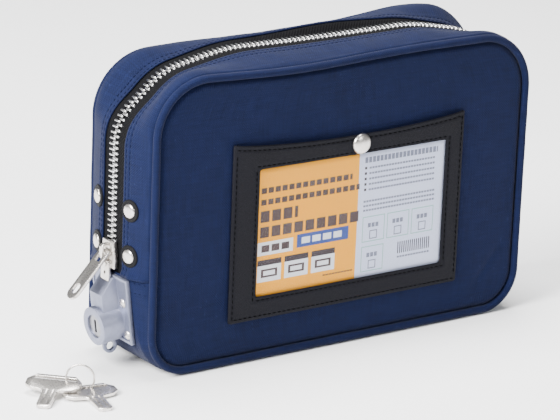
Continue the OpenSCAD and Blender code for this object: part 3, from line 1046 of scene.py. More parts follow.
@dataclass(frozen=True)
class PrintedCard:
    """Insert card: an orange half and a white half with plain bars and boxes, and no lettering.

    Attributes:
        low: lower left corner of the window, as X and Z.
        size: width and height of the window.
        split: X of the edge between the two halves.
    """

    low: tuple[float, float]
    size: tuple[float, float]
    split: float

    def marks(self) -> list[Mark]:
        """List the marks, the lowest layer first."""
        rows = [
            Mark(0.02, 0.50, 0.795, 0.840, HALF_INK, 0.0052),
            Mark(0.02, 0.54, 0.705, 0.750, HALF_INK, 0.0052),
            Mark(0.02, 0.215, 0.570, 0.660, HALF_INK, 0.0086),
            Mark(0.02, 0.545, 0.450, 0.535, HALF_INK, 0.0086),
            Mark(0.010, 0.195, 0.310, 0.415, BOX_WHITE),
            Mark(0.030, 0.175, 0.335, 0.390, HALF_INK, 0.0076),
            Mark(0.215, 0.490, 0.325, 0.430, BLUE_INK),
            Mark(0.240, 0.465, 0.352, 0.402, BOX_WHITE, 0.0082),
            Mark(0.36, 0.52, 0.060, 0.072, HALF_INK, 0.0024),
        ]
        for i in range(3):
            left = 0.012 + 0.142 * i
            rows += [
                Mark(left, left + 0.125, 0.100, 0.270, BOX_WHITE),
                Mark(left, left + 0.125, 0.230, 0.275, INK),
                Mark(left + 0.02, left + 0.105, 0.135, 0.200, HALF_INK),
                Mark(left + 0.032, left + 0.093, 0.150, 0.185, BOX_WHITE),
            ]
        rows += [Mark(0.565, 0.965, 0.905, 0.950, GREY_INK, 0.0030)]
        for i in range(5):
            z = 0.855 - 0.043 * i
            rows.append(Mark(0.565, 0.577, z, z + 0.020, INK))
            rows.append(Mark(0.590, 0.95, z, z + 0.016, GREY_INK, 0.0022))
        rows += [Mark(0.565, 0.96, 0.590 - 0.036 * i, 0.606 - 0.036 * i, GREY_INK, 0.0022) for i in range(3)]
        for left, low in ((0.565, 0.270), (0.700, 0.270), (0.835, 0.270), (0.565, 0.030)):
            rows += [
                Mark(left, left + 0.122, low, low + 0.205, PALE_INK),
                Mark(left + 0.004, left + 0.118, low + 0.007, low + 0.198, PAPER),
                Mark(left + 0.040, left + 0.082, low + 0.020, low + 0.090, GREY_INK),
                Mark(left + 0.045, left + 0.077, low + 0.028, low + 0.082, PAPER),
                Mark(left + 0.030, left + 0.092, low + 0.115, low + 0.150, GREY_INK, 0.0030),
            ]
        rows += [Mark(0.765 + 0.0115 * i, 0.7705 + 0.0115 * i, 0.130, 0.225, INK) for i in range(16)]
        rows += [Mark(0.765, 0.945, 0.095, 0.110, GREY_INK, 0.0022)]
        return rows

    def build(self) -> bpy.types.Material:
        """Make the material."""
        material, net, shader = blank("printed_card")
        place = net.add("TexCoord").outputs["Object"]
        parts = net.add("SeparateXYZ")
        net.feed(parts.inputs[0], place)
        right = net.sum("GREATER_THAN", parts.outputs[0], self.split)
        fleck = net.noise(place, 900.0, 2.0)
        body = net.blend(right, ORANGE, PAPER)
        for mark in self.marks():
            mask = use(
                net,
                Effects.MARK,
                place,
                Left=self.low[0] + mark.left * self.size[0],
                Right=self.low[0] + mark.right * self.size[0],
                Low=self.low[1] + mark.low * self.size[1],
                High=self.low[1] + mark.high * self.size[1],
                Pitch=mark.pitch,
            )
            body = net.blend(mask.outputs["Mask"], body, mark.ink)
        body = net.blend(net.span(fleck, 0.0, 0.05), body, (0.6, 0.6, 0.6))
        net.feed(shader.inputs["Base Color"], body)
        net.feed(shader.inputs["Roughness"], net.span(fleck, 0.5, 0.7))
        shader.inputs["Specular IOR Level"].default_value = 0.04
        bump(net, shader, fleck, 0.00002)
        return material


@dataclass(frozen=True)
class Fibreboard:
    """Dark pressed board."""

    name: str = "fibreboard"

    def build(self) -> bpy.types.Material:
        """Make the material."""
        material, net, shader = blank(self.name)
        place = net.add("TexCoord").outputs["Object"]
        fibre = net.noise(net.stretch(place, (300.0, 1200.0, 1200.0)), 1.0, 4.0)
        net.feed(shader.inputs["Base Color"], net.blend(fibre, (0.03, 0.028, 0.026), (0.09, 0.085, 0.08)))
        shader.inputs["Roughness"].default_value = 0.9
        bump(net, shader, fibre, 0.00015)
        return material


@dataclass(frozen=True)
class PaleFloor:
    """Plain pale studio floor."""

    name: str = "pale_floor"

    def build(self) -> bpy.types.Material:
        """Make the material."""
        material, net, shader = blank(self.name)
        place = net.add("TexCoord").outputs["Object"]
        cloud = net.noise(place, 3.0, 2.0)
        net.feed(shader.inputs["Base Color"], net.blend(cloud, (0.90, 0.90, 0.90), (0.93, 0.93, 0.93)))
        shader.inputs["Roughness"].default_value = 0.7
        return material


class Wardrobe:
    """Every finish of the bag, built once.

    Attributes:
        lock_lean: lean of the lock's axis, in degrees.
        slot_shade: depth below the plug's face at which the painted shade of the key slot begins.
    """

    lock_lean: float = 7.5
    slot_shade: float = 0.0005

    def __init__(self) -> None:
        """Build the shared effects and then each material."""
        build_effects()
        navy_dark, navy_light = (0.0008, 0.0019, 0.0098), (0.0046, 0.0082, 0.0345)
        self.canvas = Woven("navy_canvas", navy_dark, navy_light).build()
        self.tape = Woven(
            "black_tape", (0.0006, 0.0006, 0.0008), (0.0036, 0.0036, 0.0044), 0.0011, 0.3, 0.0003, sheen=0.0
        ).build()
        self.thread = Thread("navy_thread", (0.0018, 0.0034, 0.0150)).build()
        self.black_thread = Thread("black_thread", (0.0008, 0.0008, 0.0010)).build()
        # The second colour of each leather is painted shade for the grain's valleys.
        skin, skin_valley_shade = (0.0062, 0.0062, 0.0092), (0.0024, 0.0024, 0.0034)
        self.leather = Grained("black_synthetic_leather", skin, skin_valley_shade).build()
        disc, disc_valley_shade = (0.0060, 0.0060, 0.0070), (0.0030, 0.0030, 0.0030)
        self.washer = Grained("black_washer", disc, disc_valley_shade, 1600.0, 0.5).build()
        self.zip_metal = Plated("zip_metal", (0.80, 0.80, 0.81), (0.52, 0.51, 0.50), 0.16, 0.36).build()
        self.nickel = Plated("bright_nickel", (0.82, 0.79, 0.76), (0.50, 0.46, 0.42), 0.18, 0.38).build()
        pale, shaded = (0.235, 0.250, 0.335), (0.165, 0.175, 0.240)
        self.casting = Plated(
            "satin_casting", pale, shaded, 0.34, 0.50, metallic=0.75, relief=0.00005
        ).build()
        self.core = self.plug_metal().build()
        self.steel = Plated("zinc_plated_steel", (0.50, 0.51, 0.53), (0.34, 0.34, 0.35), 0.3, 0.55).build()
        self.film = ClearFilm().build()
        self.board = Fibreboard().build()
        self.floor = PaleFloor().build()

    def plug_metal(self) -> SlottedCore:
        """Measure the plug's face and return its finish."""
        lean = math.radians(self.lock_lean)
        axis = (math.cos(lean), 0.0, math.sin(lean))
        face = min(v.co.dot(Vector(axis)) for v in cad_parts["lock_plug"].data.vertices)
        bright, dull = (0.34, 0.34, 0.36), (0.20, 0.20, 0.22)
        return SlottedCore("lock_core", bright, dull, 0.25, 0.5, axis=axis, face=face + self.slot_shade)


# ---------------------------------------------------------------- studio


@dataclass
class Studio:
    """Camera, lights and floor.

    Attributes:
        eye: where the camera stands.
        azimuth: compass angle of the view, in degrees.
        elevation: height angle of the view, in degrees.
        roll: turn of the picture, in degrees.
        lens: focal length in millimetres.
    """

    eye: tuple[float, float, float] = (-1.0872, -1.4768, 0.6491)
    azimuth: float = 35.72
    elevation: float = 17.28
    roll: float = 2.28
    lens: float = 192.86

    def set_camera(self) -> None:
        """Place the camera."""
        a, e, r = (math.radians(v) for v in (self.azimuth, self.elevation, self.roll))
        back = Vector((-math.sin(a) * math.cos(e), -math.cos(a) * math.cos(e), math.sin(e)))
        right = Vector((math.cos(a), -math.sin(a), 0.0))
        up = back.cross(right)
        x = right * math.cos(r) + up * math.sin(r)
        y = up * math.cos(r) - right * math.sin(r)
        data = bpy.data.cameras.new("camera")
        data.lens = self.lens
        data.sensor_width = 36.0
        data.clip_start = 0.05
        camera = bpy.data.objects.new("camera", data)
        camera.matrix_world = Matrix.Translation(self.eye) @ Matrix((x, y, back)).transposed().to_4x4()
        bpy.context.scene.collection.objects.link(camera)
        bpy.context.scene.camera = camera

    def set_lights(self) -> None:
        """Hang the soft lights and set the room's glow."""
        for name, where, size, power in (
            ("key", (-1.9, -0.30, 1.4), 1.2, 222.0),
            ("fill", (0.5, -2.2, 1.2), 0.8, 17.0),
            ("top", (0.1, 0.3, 2.2), 1.4, 118.0),
        ):
            data = bpy.data.lights.new(name, "AREA")
            data.energy = power
            data.shape = "DISK"
            data.size = size
            light = bpy.data.objects.new(name, data)
            aim = Vector((0.0, 0.0, 0.08)) - Vector(where)
            light.rotation_euler = aim.to_track_quat("-Z", "Y").to_euler()
            light.location = where
            bpy.context.scene.collection.objects.link(light)
        world = bpy.data.worlds.new("room")
        world.use_nodes = True
        glow = world.node_tree.nodes["Background"]
        glow.inputs["Color"].default_value = (0.96, 0.98, 1.0, 1.0)
        glow.inputs["Strength"].default_value = 0.32
        bpy.context.scene.world = world

    def lay_floor(self, material: bpy.types.Material) -> None:
        """Lay the floor."""
        bm = bmesh.new()
        bmesh.ops.create_grid(bm, x_segments=8, y_segments=8, size=9.0)
        floor = dress(finish_mesh(bm, "floor"), material)


# ---------------------------------------------------------------- shell


@dataclass
class Panels:
    """The two canvas panels with their piping.

    Attributes:
        edge: how far inside the outline the cloth runs under the piping.
        sink: how far the cloth's edge lies behind its face.
        bead_r: radius of the piping.
        bead_in: how far the piping's middle lies inside the outline.
        wall: thickness of the cloth.
        crease_depth: depth of the soft creases in the front's lower right corner.
    """

    edge: float = 0.0030
    sink: float = 0.0026
    bead_r: float = 0.0025
    bead_in: float = 0.0016
    wall: float = 0.0012
    crease_depth: float = 0.0009

    def panel_point(self, side: Side, u: float, v: float) -> Vector:
        """Return a point of a panel for fractions across and up."""
        top, low = RIM.top - self.edge, RIM.floor + self.edge
        z = self.level(v, low, top)
        half = RIM.half_width(z, self.edge)
        x = (2.0 * u - 1.0) * half
        rim_gap = min(half - abs(x), top - z, z - low)
        corner = self.corner_gap(x, z)
        depth = self.sink * (1.0 - ease(0.0, 0.0045, min(rim_gap, corner)))
        front = side is Side.FRONT
        seed = 3.0 if front else 11.0
        flat = Vector((x, 0.0, z))
        calm = ease(0.0, 0.03, corner)
        wave = 0.0007 * ripple(flat, 0.075, seed) + 0.00025 * ripple(flat, 0.022, seed + 5.0)
        wave -= self.crease_depth * self.creases(x, z) if front else 0.0
        y = RIM.half_d - depth + wave * calm
        return DRAPE.settle(Vector((x, side.value * y, z)))

    def creases(self, x: float, z: float) -> float:
        """Return the strength of the soft creases at a place on the front."""
        lower = hump(x - 0.8 * z, 0.092, 0.0035) * hump(z, 0.036, 0.016)
        upper = 0.7 * hump(x - 0.35 * z, 0.112, 0.0040) * hump(z, 0.062, 0.018)
        return lower + upper

    def level(self, v: float, low: float, top: float) -> float:
        """Return the height of a row, with rows closer together in the rounded corners."""
        foot, head = RIM.foot_r - self.edge, RIM.top_r - self.edge
        if v < 0.16:
            return low + foot * (1.0 - math.cos(v / 0.16 * math.pi / 2))
        if v > 0.78:
            return top - head * (1.0 - math.cos((1.0 - v) / 0.22 * math.pi / 2))
        return mix(low + foot, top - head, (v - 0.16) / 0.62)

    def corner_gap(self, x: float, z: float) -> float:
        """Return the distance from a point inside the outline to its edge."""
        w = RIM.half_w - self.edge
        top, low = RIM.top - self.edge, RIM.floor + self.edge
        high = z > (top + low) / 2
        radius = (RIM.top_r if high else RIM.foot_r) - self.edge
        dx = abs(x) - (w - radius)
        dz = (z - (top - radius)) if high else ((low + radius) - z)
        if dx > 0 and dz > 0:
            return radius - math.hypot(dx, dz)
        return min(w - abs(x), top - z, z - low)

    def bead_point(self, side: Side, u: float, v: float) -> Vector:
        """Return a point of the piping for fractions round the rim and round the bead."""
        s = u * RIM.total
        turn = v * math.tau
        base, normal = RIM.at(s)
        swell = self.bead_r * (1.0 + 0.05 * ripple(base, 0.012, 2.0 * side.value))
        out = -self.bead_in + swell * math.cos(turn)
        y = side.value * (RIM.half_d - 0.0006 + swell * math.sin(turn))
        point = base + normal * out
        point.y = y
        point.z = max(point.z, 0.0)
        return DRAPE.settle(point)

    def build(self, look: Wardrobe) -> None:
        """Make both panels and both beads."""
        for side in Side:
            word = side.name.lower()
            panel = cloth_sheet(
                f"{word}_panel_cloth",
                (150, 110),
                (2 * RIM.half_w, RIM.top - RIM.floor),
                lambda u, v: self.panel_point(side, u, v),
                lambda p: Vector((0, side.value, 0)),
                self.wall,
            )
            bead = cloth_sheet(
                f"{word}_piping_bead",
                (420, 14),
                (RIM.total, math.tau * self.bead_r),
                lambda u, v: self.bead_point(side, u, v),
                lambda p: p - Vector((p.x, side.value * (RIM.half_d - 0.0006), p.z)),
                closed=True,
            )
            foot = ("_foot",) if side is Side.FRONT else ()
            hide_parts(f"{word}_panel", *(f"{word}_panel{f}" for f in foot))
            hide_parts(f"{word}_piping", *(f"{word}_piping{f}" for f in foot))
            for piece in (panel, bead):
                dress(piece, look.canvas)
                hold(piece, side)


@dataclass
class ZipSide:
    """Canvas strips, tapes and teeth that run round the left end, the top and the right end.

    Attributes:
        hem: depth of each strip's folded edge beside the zip.
        rows: depths of the stitch rows.
        tape_edge: depth of the tape's corded edge.
        strip_t: thickness of the strip.
        tape_t: thickness of the tape.
        pitch: distance between two teeth of one row.
        tooth: width, height and length of a tooth.
        first_tooth: distance from the end seam at which the teeth start.
        tooth_rise: height of the teeth's middle over the rim.
        tooth_foot: depth at which a tooth's clamped end stops.
        tooth_round: width of the bevel on a tooth's edges.
    """

    hem: float = 0.0115
    rows: tuple[float, ...] = (0.0131, 0.0162)
    tape_edge: float = 0.0026
    strip_t: float = 0.0012
    tape_t: float = 0.0008
    pitch: float = 0.00345
    tooth: tuple[float, float, float] = (0.0052, 0.0036, 0.0014)
    first_tooth: float = 0.0132
    tooth_rise: float = 0.0058
    tooth_foot: float = 0.0044
    tooth_round: float = 0.00032

    def strip_out(self, s: float, y: float) -> float:
        """Return how far the strip stands out at a distance s and depth y."""
        out = crown(min(y, SEAM_Y))
        near = min(s, RIM.upper - s)
        out = mix(Gusset.end_out(RIM.seam, y), out, ease(0.0, 0.011, near))
        base, _ = RIM.at(s)
        point = Vector((base.x, y, base.z))
        calm = ease(0.012, 0.020, y) * (1.0 - ease(0.0300, SEAM_Y, y))
        slack = 0.0008 * ripple(point, 0.030, 7.0) + 0.0003 * ripple(point, 0.011, 9.0)
        out += slack * calm * ease(0.05, 0.08, near)
        for row in self.rows:
            out -= 0.00028 * hump(y, row, 0.0006)
        out += 0.0013 * (1.0 - ease(0.0005, 0.0045, near)) * (1.0 - ease(0.029, SEAM_Y, y))
        if y > SEAM_Y:
            out -= 0.0024 * ease(SEAM_Y, LAP_Y, y)
        return out

    def strip(self, side: Side, look: Wardrobe) -> None:
        """Make one canvas strip."""

        def place(u: float, v: float) -> Vector:
            """Return a point of the strip."""
            s, y = u * RIM.upper, mix(self.hem, LAP_Y, v)
            return DRAPE.settle(RIM.place(s, self.strip_out(s, y), side.value * y))

        word = side.name.lower()
        piece = cloth_sheet(
            f"{word}_zip_strip_cloth", (230, 34), (RIM.upper, 0.0223), place, self.outward, self.strip_t
        )
        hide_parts(f"{word}_zip_strip")
        dress(piece, look.canvas)
        hold(piece, side)
        for i, row in enumerate(self.rows):
            thread = StitchLine(f"{word}_strip_stitches_{i}")
            path = self.row_path(side, row)
            thread.sew(path, RIM.upper, self.outward)
            thread.done(side, look.thread)

    def row_path(self, side: Side, y: float) -> Callable[[float], Vector]:
        """Return the path of a stitch row at a depth."""

        def path(s: float) -> Vector:
            """Return a point on the row."""
            return DRAPE.settle(RIM.place(s, self.strip_out(s, y) + 0.0001, side.value * y))

        return path

    def outward(self, p: Vector) -> Vector:
        """Return the rough outward direction of the zip side at a point."""
        reach = Vector((max(abs(p.x) - (RIM.half_w - RIM.top_r), 0.0) * (1 if p.x > 0 else -1), 0.0, 0.0))
        reach.z = max(p.z - (RIM.top - RIM.top_r), 0.0)
        if p.z < RIM.floor + RIM.foot_r:
            reach.z = p.z - (RIM.floor + RIM.foot_r)
        return reach.normalized() if reach.length > 1e-6 else Vector((0, 0, 1))

    def tape_out(self, y: float) -> float:
        """Return how far the tape stands out at the depth y."""
        return crown(y) - self.strip_t - 0.00005 + 0.0004 * hump(y, self.tape_edge + 0.0006, 0.0007)

    def tape(self, side: Side, look: Wardrobe) -> None:
        """Make one zip tape with its corded edge."""

        def place(u: float, v: float) -> Vector:
            """Return a point of the tape."""
            s, y = u * RIM.upper, mix(self.tape_edge, 0.020, v)
            ribs = 0.00005 * math.sin(s * math.tau / 0.0012 + (1 if v > 0.4 else -1) * y * 2600.0)
            sink = 0.0004 * ease(self.hem - 0.001, self.hem + 0.001, y)
            return DRAPE.settle(RIM.place(s, self.tape_out(y) + ribs - sink, side.value * y))

        word = side.name.lower()
        size = (RIM.upper, 0.0174)
        piece = cloth_sheet(f"{word}_zip_tape_web", (420, 22), size, place, self.outward, self.tape_t)
        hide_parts(f"{word}_zip_tape")
        dress(piece, look.tape)
        hold(piece, side)

    def teeth(self, side: Side, look: Wardrobe) -> None:
        """Make one row of teeth, each a rounded bar clamped on the tape's edge."""
        pattern = bmesh.new()
        bmesh.ops.create_cube(pattern, size=1.0)
        bmesh.ops.scale(pattern, vec=self.tooth, verts=pattern.verts)
        nose = [v for v in pattern.verts if v.co.x > 0]
        bmesh.ops.scale(pattern, vec=(1.0, 0.86, 0.9), verts=nose)
        bmesh.ops.bevel(
            pattern,
            geom=list(pattern.edges),
            offset=self.tooth_round,
            offset_type="OFFSET",
            segments=1,
            profile=0.5,
            affect="EDGES",
            clamp_overlap=True,
            material=-1,
        )
        mesh = bpy.data.meshes.new("tooth")
        pattern.to_mesh(mesh)
        pattern.free()
        bm = bmesh.new()
        phase = 0.5 if side is Side.FRONT else 0.0
        for s in self.tooth_places(phase):
            middle = side.value * (self.tooth_foot - self.tooth[0] / 2)
            spot = DRAPE.settle(RIM.place(s, self.tooth_rise, middle))
            ahead = DRAPE.settle(RIM.place(s + 0.001, self.tooth_rise, middle))
            _, normal = RIM.at(s)
            heading = (ahead - spot).normalized()
            across = Vector((0, -side.value, 0))
            up = across.cross(heading)
            if up.dot(normal) < 0:
                up = -up
            where = Matrix.Translation(spot) @ Matrix((across, up, heading)).transposed().to_4x4()
            before = len(bm.verts)
            bm.from_mesh(mesh)
            bm.verts.ensure_lookup_table()
            bmesh.ops.transform(bm, matrix=where, verts=bm.verts[before:])
        bpy.data.meshes.remove(mesh)
        bmesh.ops.recalc_face_normals(bm, faces=bm.faces)
        word = side.name.lower()
        piece = dress(finish_mesh(bm, f"{word}_zip_teeth_row", 50.0), look.zip_metal)
        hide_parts(f"{word}_zip_teeth")
        hold(piece, side)

    def tooth_places(self, phase: float) -> list[float]:
        """Space one row of teeth evenly along the settled zip.

        Args:
            phase: shift of the row, as a part of the pitch.

        Returns:
            The distance of each tooth round the rim.
        """
        span = RIM.upper - 2 * self.first_tooth
        steps = 1200
        marks = [self.first_tooth + span * i / steps for i in range(steps + 1)]
        track = [DRAPE.settle(RIM.place(s, self.tooth_rise, 0.0)) for s in marks]
        run = [0.0]
        for a, b in zip(track, track[1:]):
            run.append(run[-1] + (b - a).length)
        count = int(run[-1] / self.pitch)
        places, k = [], 0
        for i in range(count):
            goal = (i + phase + 0.4) * run[-1] / count
            while k < len(run) - 2 and run[k + 1] < goal:
                k += 1
            places.append(mix(marks[k], marks[k + 1], (goal - run[k]) / (run[k + 1] - run[k])))
        return places

    def reinforcement(self, side: Side, look: Wardrobe) -> None:
        """Make the webbing patch behind the rivets."""

        def place(u: float, v: float) -> Vector:
            """Return a point of the patch."""
            s, y = mix(0.005, 0.057, u), mix(0.0125, 0.030, v)
            return RIM.place(s, crown(y) - self.strip_t - self.tape_t - 0.0003, side.value * y)

        word = side.name.lower()
        piece = cloth_sheet(f"{word}_rivet_patch", (40, 16), (0.052, 0.0175), place, self.outward, 0.0009)
        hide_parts(f"{word}_reinforcement")
        dress(piece, look.tape)
        hold(piece, side)

    def build(self, look: Wardrobe) -> None:
        """Make the whole zip side."""
        for side in Side:
            self.strip(side, look)
            self.tape(side, look)
            self.teeth(side, look)
            self.reinforcement(side, look)
        stop = dress(softened("zip_end_stop", "zip_stop_block", 0.0005), look.zip_metal)
        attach(stop, Body.BAG.value)


@dataclass
class Gusset:
    """Canvas of the floor and the lower ends.

    Attributes:
        wall: thickness of the cloth.
        rows: distances of the stitch rows below the seam.
    """

    wall: float = 0.0013
    rows: tuple[float, ...] = (0.0020, 0.0085)

    @staticmethod
    def end_out(z: float, y: float) -> float:
        """Return how far an end stands out of the outline.

        Args:
            z: height.
            y: depth, without its sign.

        Returns:
            The distance in metres.
        """
        knee = RIM.floor + RIM.foot_r
        part = ease(knee - 0.006, knee + 0.001, z) * min(max((z - knee) / (RIM.seam - knee), 0.0), 1.0)
        middle = mix(0.0015, 0.0066, part) if z > knee else 0.0015
        flat, edge = mix(0.026, 0.0200, ease(knee - 0.01, knee + 0.01, z)), SEAM_Y
        rim = mix(-0.0012, 0.0010, part)
        if y <= flat:
            return middle
        t = min((y - flat) / (edge - flat), 1.0)
        out = mix(middle, rim, t)
        if y > edge:
            out -= 0.0022 * ease(edge, LAP_Y, y)
        return out

    def point(self, s: float, y: float) -> Vector:
        """Return a point of the gusset at a distance round the rim and a depth."""
        base, _ = RIM.at(s)
        out = self.end_out(base.z, abs(y))
        fall = RIM.seam - base.z
        for row in self.rows:
            out -= 0.0003 * hump(fall, row, 0.0007)
        spot = Vector((base.x, y, base.z))
        calm = ease(0.021, 0.026, abs(y)) * (1.0 - ease(0.030, SEAM_Y, abs(y))) * ease(0.008, 0.02, base.z)
        out += 0.0006 * ripple(spot, 0.016, 21.0) * calm
        place = RIM.place(s, out, y)
        place.z = max(place.z, 0.0)
        return place

    def outward(self, p: Vector) -> Vector:
        """Return the outward direction at a point of the lower shell."""
        reach_x = max(abs(p.x) - (RIM.half_w - RIM.foot_r), 0.0) * (1 if p.x > 0 else -1)
        reach_z = min(p.z - (RIM.floor + RIM.foot_r), 0.0)
        reach = Vector((reach_x, 0.0, reach_z))
        return reach.normalized() if reach.length > 1e-6 else Vector((0, 0, -1))

    def build(self, look: Wardrobe) -> None:
        """Make the gusset, its end stitches and the bindings inside."""
        lower = RIM.total - RIM.upper

        def place(u: float, v: float) -> Vector:
            """Return a point of the gusset."""
            return self.point(RIM.upper + u * lower, mix(-LAP_Y, LAP_Y, v))

        size = (lower, 2 * LAP_Y)
        piece = cloth_sheet("bottom_gusset_cloth", (220, 64), size, place, self.outward, self.wall)
        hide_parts("bottom_gusset")
        dress(piece, look.canvas)
        FOLD.across(piece)
        thread = StitchLine("end_seam_stitches")
        for row in self.rows:
            for s in (RIM.upper + row, RIM.total - row):
                thread.sew(lambda d, s=s: self.lift(self.point(s, -0.031 + d)), 0.062, self.outward)
        sewn = dress(finish_mesh(thread.bm, thread.name, 80.0), look.thread)
        FOLD.across(sewn)
        for node, name, width, finish, slot in (
            ("seam_bindings", "seam_binding_web", 0.0001, look.tape, "black_webbing"),
            ("base_board", "base_board_sheet", 0.0004, look.board, "board"),
        ):
            inner = dress(softened(node, name, width), finish)
            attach(inner, Body.BAG.value)

    def lift(self, p: Vector) -> Vector:
        """Return a point moved just outside the cloth."""
        return p + self.outward(p) * 0.0001


@dataclass
class GussetRivets:
    """Four domed rivets on black washers, two on each side of the zip.

    Attributes:
        depth: Y of each rivet.
        heights: Z of the rivets.
        washer_r: radius of the washers.
        dome_r: radius of the domes.
    """

    depth: float = 0.018
    heights: tuple[float, ...] = (0.077, 0.106)
    washer_r: float = 0.007
    dome_r: float = 0.0045

    def build(self, look: Wardrobe) -> None:
        """Make the rivets and washers of both sides."""
        slope = (crown(0.016) - crown(0.020)) / 0.004
        w, r = self.washer_r, self.dome_r
        washer = [(0.0, -0.0002), (w - 0.0004, -0.0002), (w, 0.0)]
        washer += [(w, 0.0005), (w - 0.0004, 0.0009), (0.0, 0.0011)]
        dome = [(0.0, 0.0006), (r, 0.0006), (r, 0.0012)]
        dome += [(r * math.cos(a), 0.0012 + 0.0012 * math.sin(a)) for a in (0.3, 0.6, 0.9, 1.2, 1.4)]
        dome += [(0.0, 0.0024)]
        back = [(0.0, -0.0052), (0.004, -0.0052), (0.004, -0.0043), (0.0, -0.0043)]
        for side in Side:
            word = side.name.lower()
            for i, z in enumerate(self.heights):
                spot = Vector((-RIM.half_w - crown(self.depth), side.value * self.depth, z))
                where = axes(spot, Vector((-1.0, side.value * slope, 0.0)), Vector((0, 0, 1)))
                for shapes, name, node, finish, slot in (
                    ((washer,), "washer_disc", "rivet_washers", look.washer, "black_webbing"),
                    ((dome, back), "rivet_dome", "gusset_rivets", look.nickel, "nickel"),
                ):
                    bm = bmesh.new()
                    for shape in shapes:
                        turned(bm, shape, where)
                    piece = dress(finish_mesh(bm, f"{word}_{name}_{i}"), finish)
                    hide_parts(f"{word}_{node}")
                    if side is Side.FRONT:
                        FOLD.rigid(piece, spot)
                    else:
                        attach(piece, Body.BAG.value)


# ---------------------------------------------------------------- window pocket


@dataclass
class WindowPocket:
    """Synthetic leather frame, clear window, insert card and snap button.

    Attributes:
        window: left, right, low and high of the opening.
        face_y: Y of the frame's face.
        mouth_sag: drop of the pocket's open top edge between its ends.
        mouth_gap: how far the open top edge stands off the panel.
        skin: thickness of the frame.
    """

    window: tuple[float, float, float, float] = (-0.068, 0.077, 0.043, 0.126)
    face_y: float = -0.0377
    mouth_sag: float = 0.0056
    mouth_gap: float = 0.0010
    skin: float = 0.0011

    def __post_init__(self) -> None:
        """Read the frame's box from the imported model."""
        low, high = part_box("pocket_frame")
        self.left, self.right, self.head = low[0], high[0], high[2]
        self.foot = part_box("pocket_frame_foot")[0][2]

    def ring(self, t: float, box: tuple[float, float, float, float], radius: float) -> Vector:
        """Walk round a box with rounded corners.

        Args:
            t: fraction of the way round, from the lower left corner, clockwise.
            box: left, right, low and high.
            radius: of its corners.

        Returns:
            The point at depth 0.
        """
        left, right, low, high = box
        corners = ((left, low), (left, high), (right, high), (right, low))
        side, part = divmod(t * 4.0, 1.0)
        i = int(side) % 4
        a, b = Vector(corners[i]), Vector(corners[(i + 1) % 4])
        length = (b - a).length
        d = part * length
        point = a + (b - a) * part
        inward = Vector(((left + right) / 2, (low + high) / 2))
        for corner, gap in ((a, d), (b, length - d)):
            if gap < radius:
                pull = inward - corner
                pull = Vector((math.copysign(1, pull.x), math.copysign(1, pull.y)))
                centre = corner + pull * radius
                share = 0.5 * (1.0 - gap / radius)
                angle = share * math.pi / 2
                wall = (corner + b if corner is a else corner + a) / 2 - corner
                wall.normalize()
                other = pull - Vector((wall.x * abs(pull.x), wall.y * abs(pull.y)))
                other.normalize()
                point = centre - other * radius * math.cos(angle) - wall * radius * math.sin(angle)
        return Vector((point.x, 0.0, point.y))

    def lean(self, p: Vector) -> Vector:
        """Move a flat point to where the sewn pocket holds it."""
        mouth = ease(self.window[3] - 0.004, self.head, p.z)
        part = (p.x - self.left) / (self.right - self.left)
        free = math.sin(math.pi * min(max(part, 0.0), 1.0)) ** 0.65
        snap = 1.0 - 0.55 * hump(p.x, 0.008, 0.022)
        p.z -= self.mouth_sag * mouth * free
        p.y -= self.mouth_gap * mouth * free * snap
        p.y += 0.0002 * ripple(Vector((p.x, 0, p.z)), 0.03, 4.0)
        return p

    def frame_point(self, t: float, v: float) -> Vector:
        """Return a point of the frame for fractions round it and from window to edge."""
        outer_box = (self.left, self.right, self.foot, self.head)
        inner, outer = self.ring(t, self.window, 0.0012), self.ring(t, outer_box, 0.0015)
        p = inner.lerp(outer, v)
        edge = min(p.x - self.left, self.right - p.x, p.z - self.foot)
        seam = 0.00035 * hump(edge, 0.0024, 0.0008)
        w = self.window
        near = max(w[0] - p.x, p.x - w[1], w[2] - p.z, p.z - w[3])
        seam += 0.0003 * hump(near, 0.0024, 0.0008)
        top_seam = 0.0003 * hump(self.head - p.z, 0.0030, 0.0008)
        p.y = self.face_y + seam + top_seam + 0.0009 * (1.0 - ease(0.0, 0.0022, edge))
        p.y += 0.0004 * (1.0 - ease(0.0, 0.0014, near))
        return self.lean(p)

    def seams(self, look: Wardrobe) -> None:
        """Sew the rows round the frame and round the window."""
        w = self.window
        thread = StitchLine("pocket_stitches", length=0.0028, gap=0.0009, radius=0.00032)
        boxes = (
            (self.left + 0.0024, self.right - 0.0024, self.foot + 0.0024, self.head - 0.0030),
            (w[0] - 0.0024, w[1] + 0.0024, w[2] - 0.0024, w[3] + 0.0024),
        )
        for left, right, low, high in boxes:
            spots = ((left, low), (left, high), (right, high), (right, low))
            corners = [Vector((x, 0, z)) for x, z in spots]
            for a, b in zip(corners, corners[1:] + corners[:1]):
                way = (b - a).normalized()
                thread.sew(lambda d, a=a, way=way: self.on_face(a + way * d), (b - a).length, facing_front)
        for x in (self.left + 0.0024, self.right - 0.0024):
            tack = Vector((x, 0, self.head - 0.002))
            thread.sew(lambda d, a=tack: self.on_face(a + Vector((0, 0, d)), 0.0006), 0.007, facing_front)
        piece = dress(finish_mesh(thread.bm, thread.name, 80.0), look.black_thread)
        FOLD.across(piece)

    def on_face(self, p: Vector, back: float = 0.0) -> Vector:
        """Return the point of the frame's face in front of a flat point."""
        return self.lean(Vector((p.x, self.face_y + 0.00008 + back, p.z)))

    def film(self, look: Wardrobe) -> None:
        """Make the clear window."""
        w = self.window

        def place(u: float, v: float) -> Vector:
            """Return a point of the film."""
            x, z = mix(w[0] - 0.007, w[1] + 0.004, u), mix(w[2] - 0.005, w[3] + 0.003, v)
            swell = math.sin(math.pi * u) * math.sin(math.pi * v)
            ruck = 0.00012 * ripple(Vector((x, 0, z)), 0.035, 6.0)
            return self.lean(Vector((x, -0.0362 - 0.0003 * swell + ruck, z)))

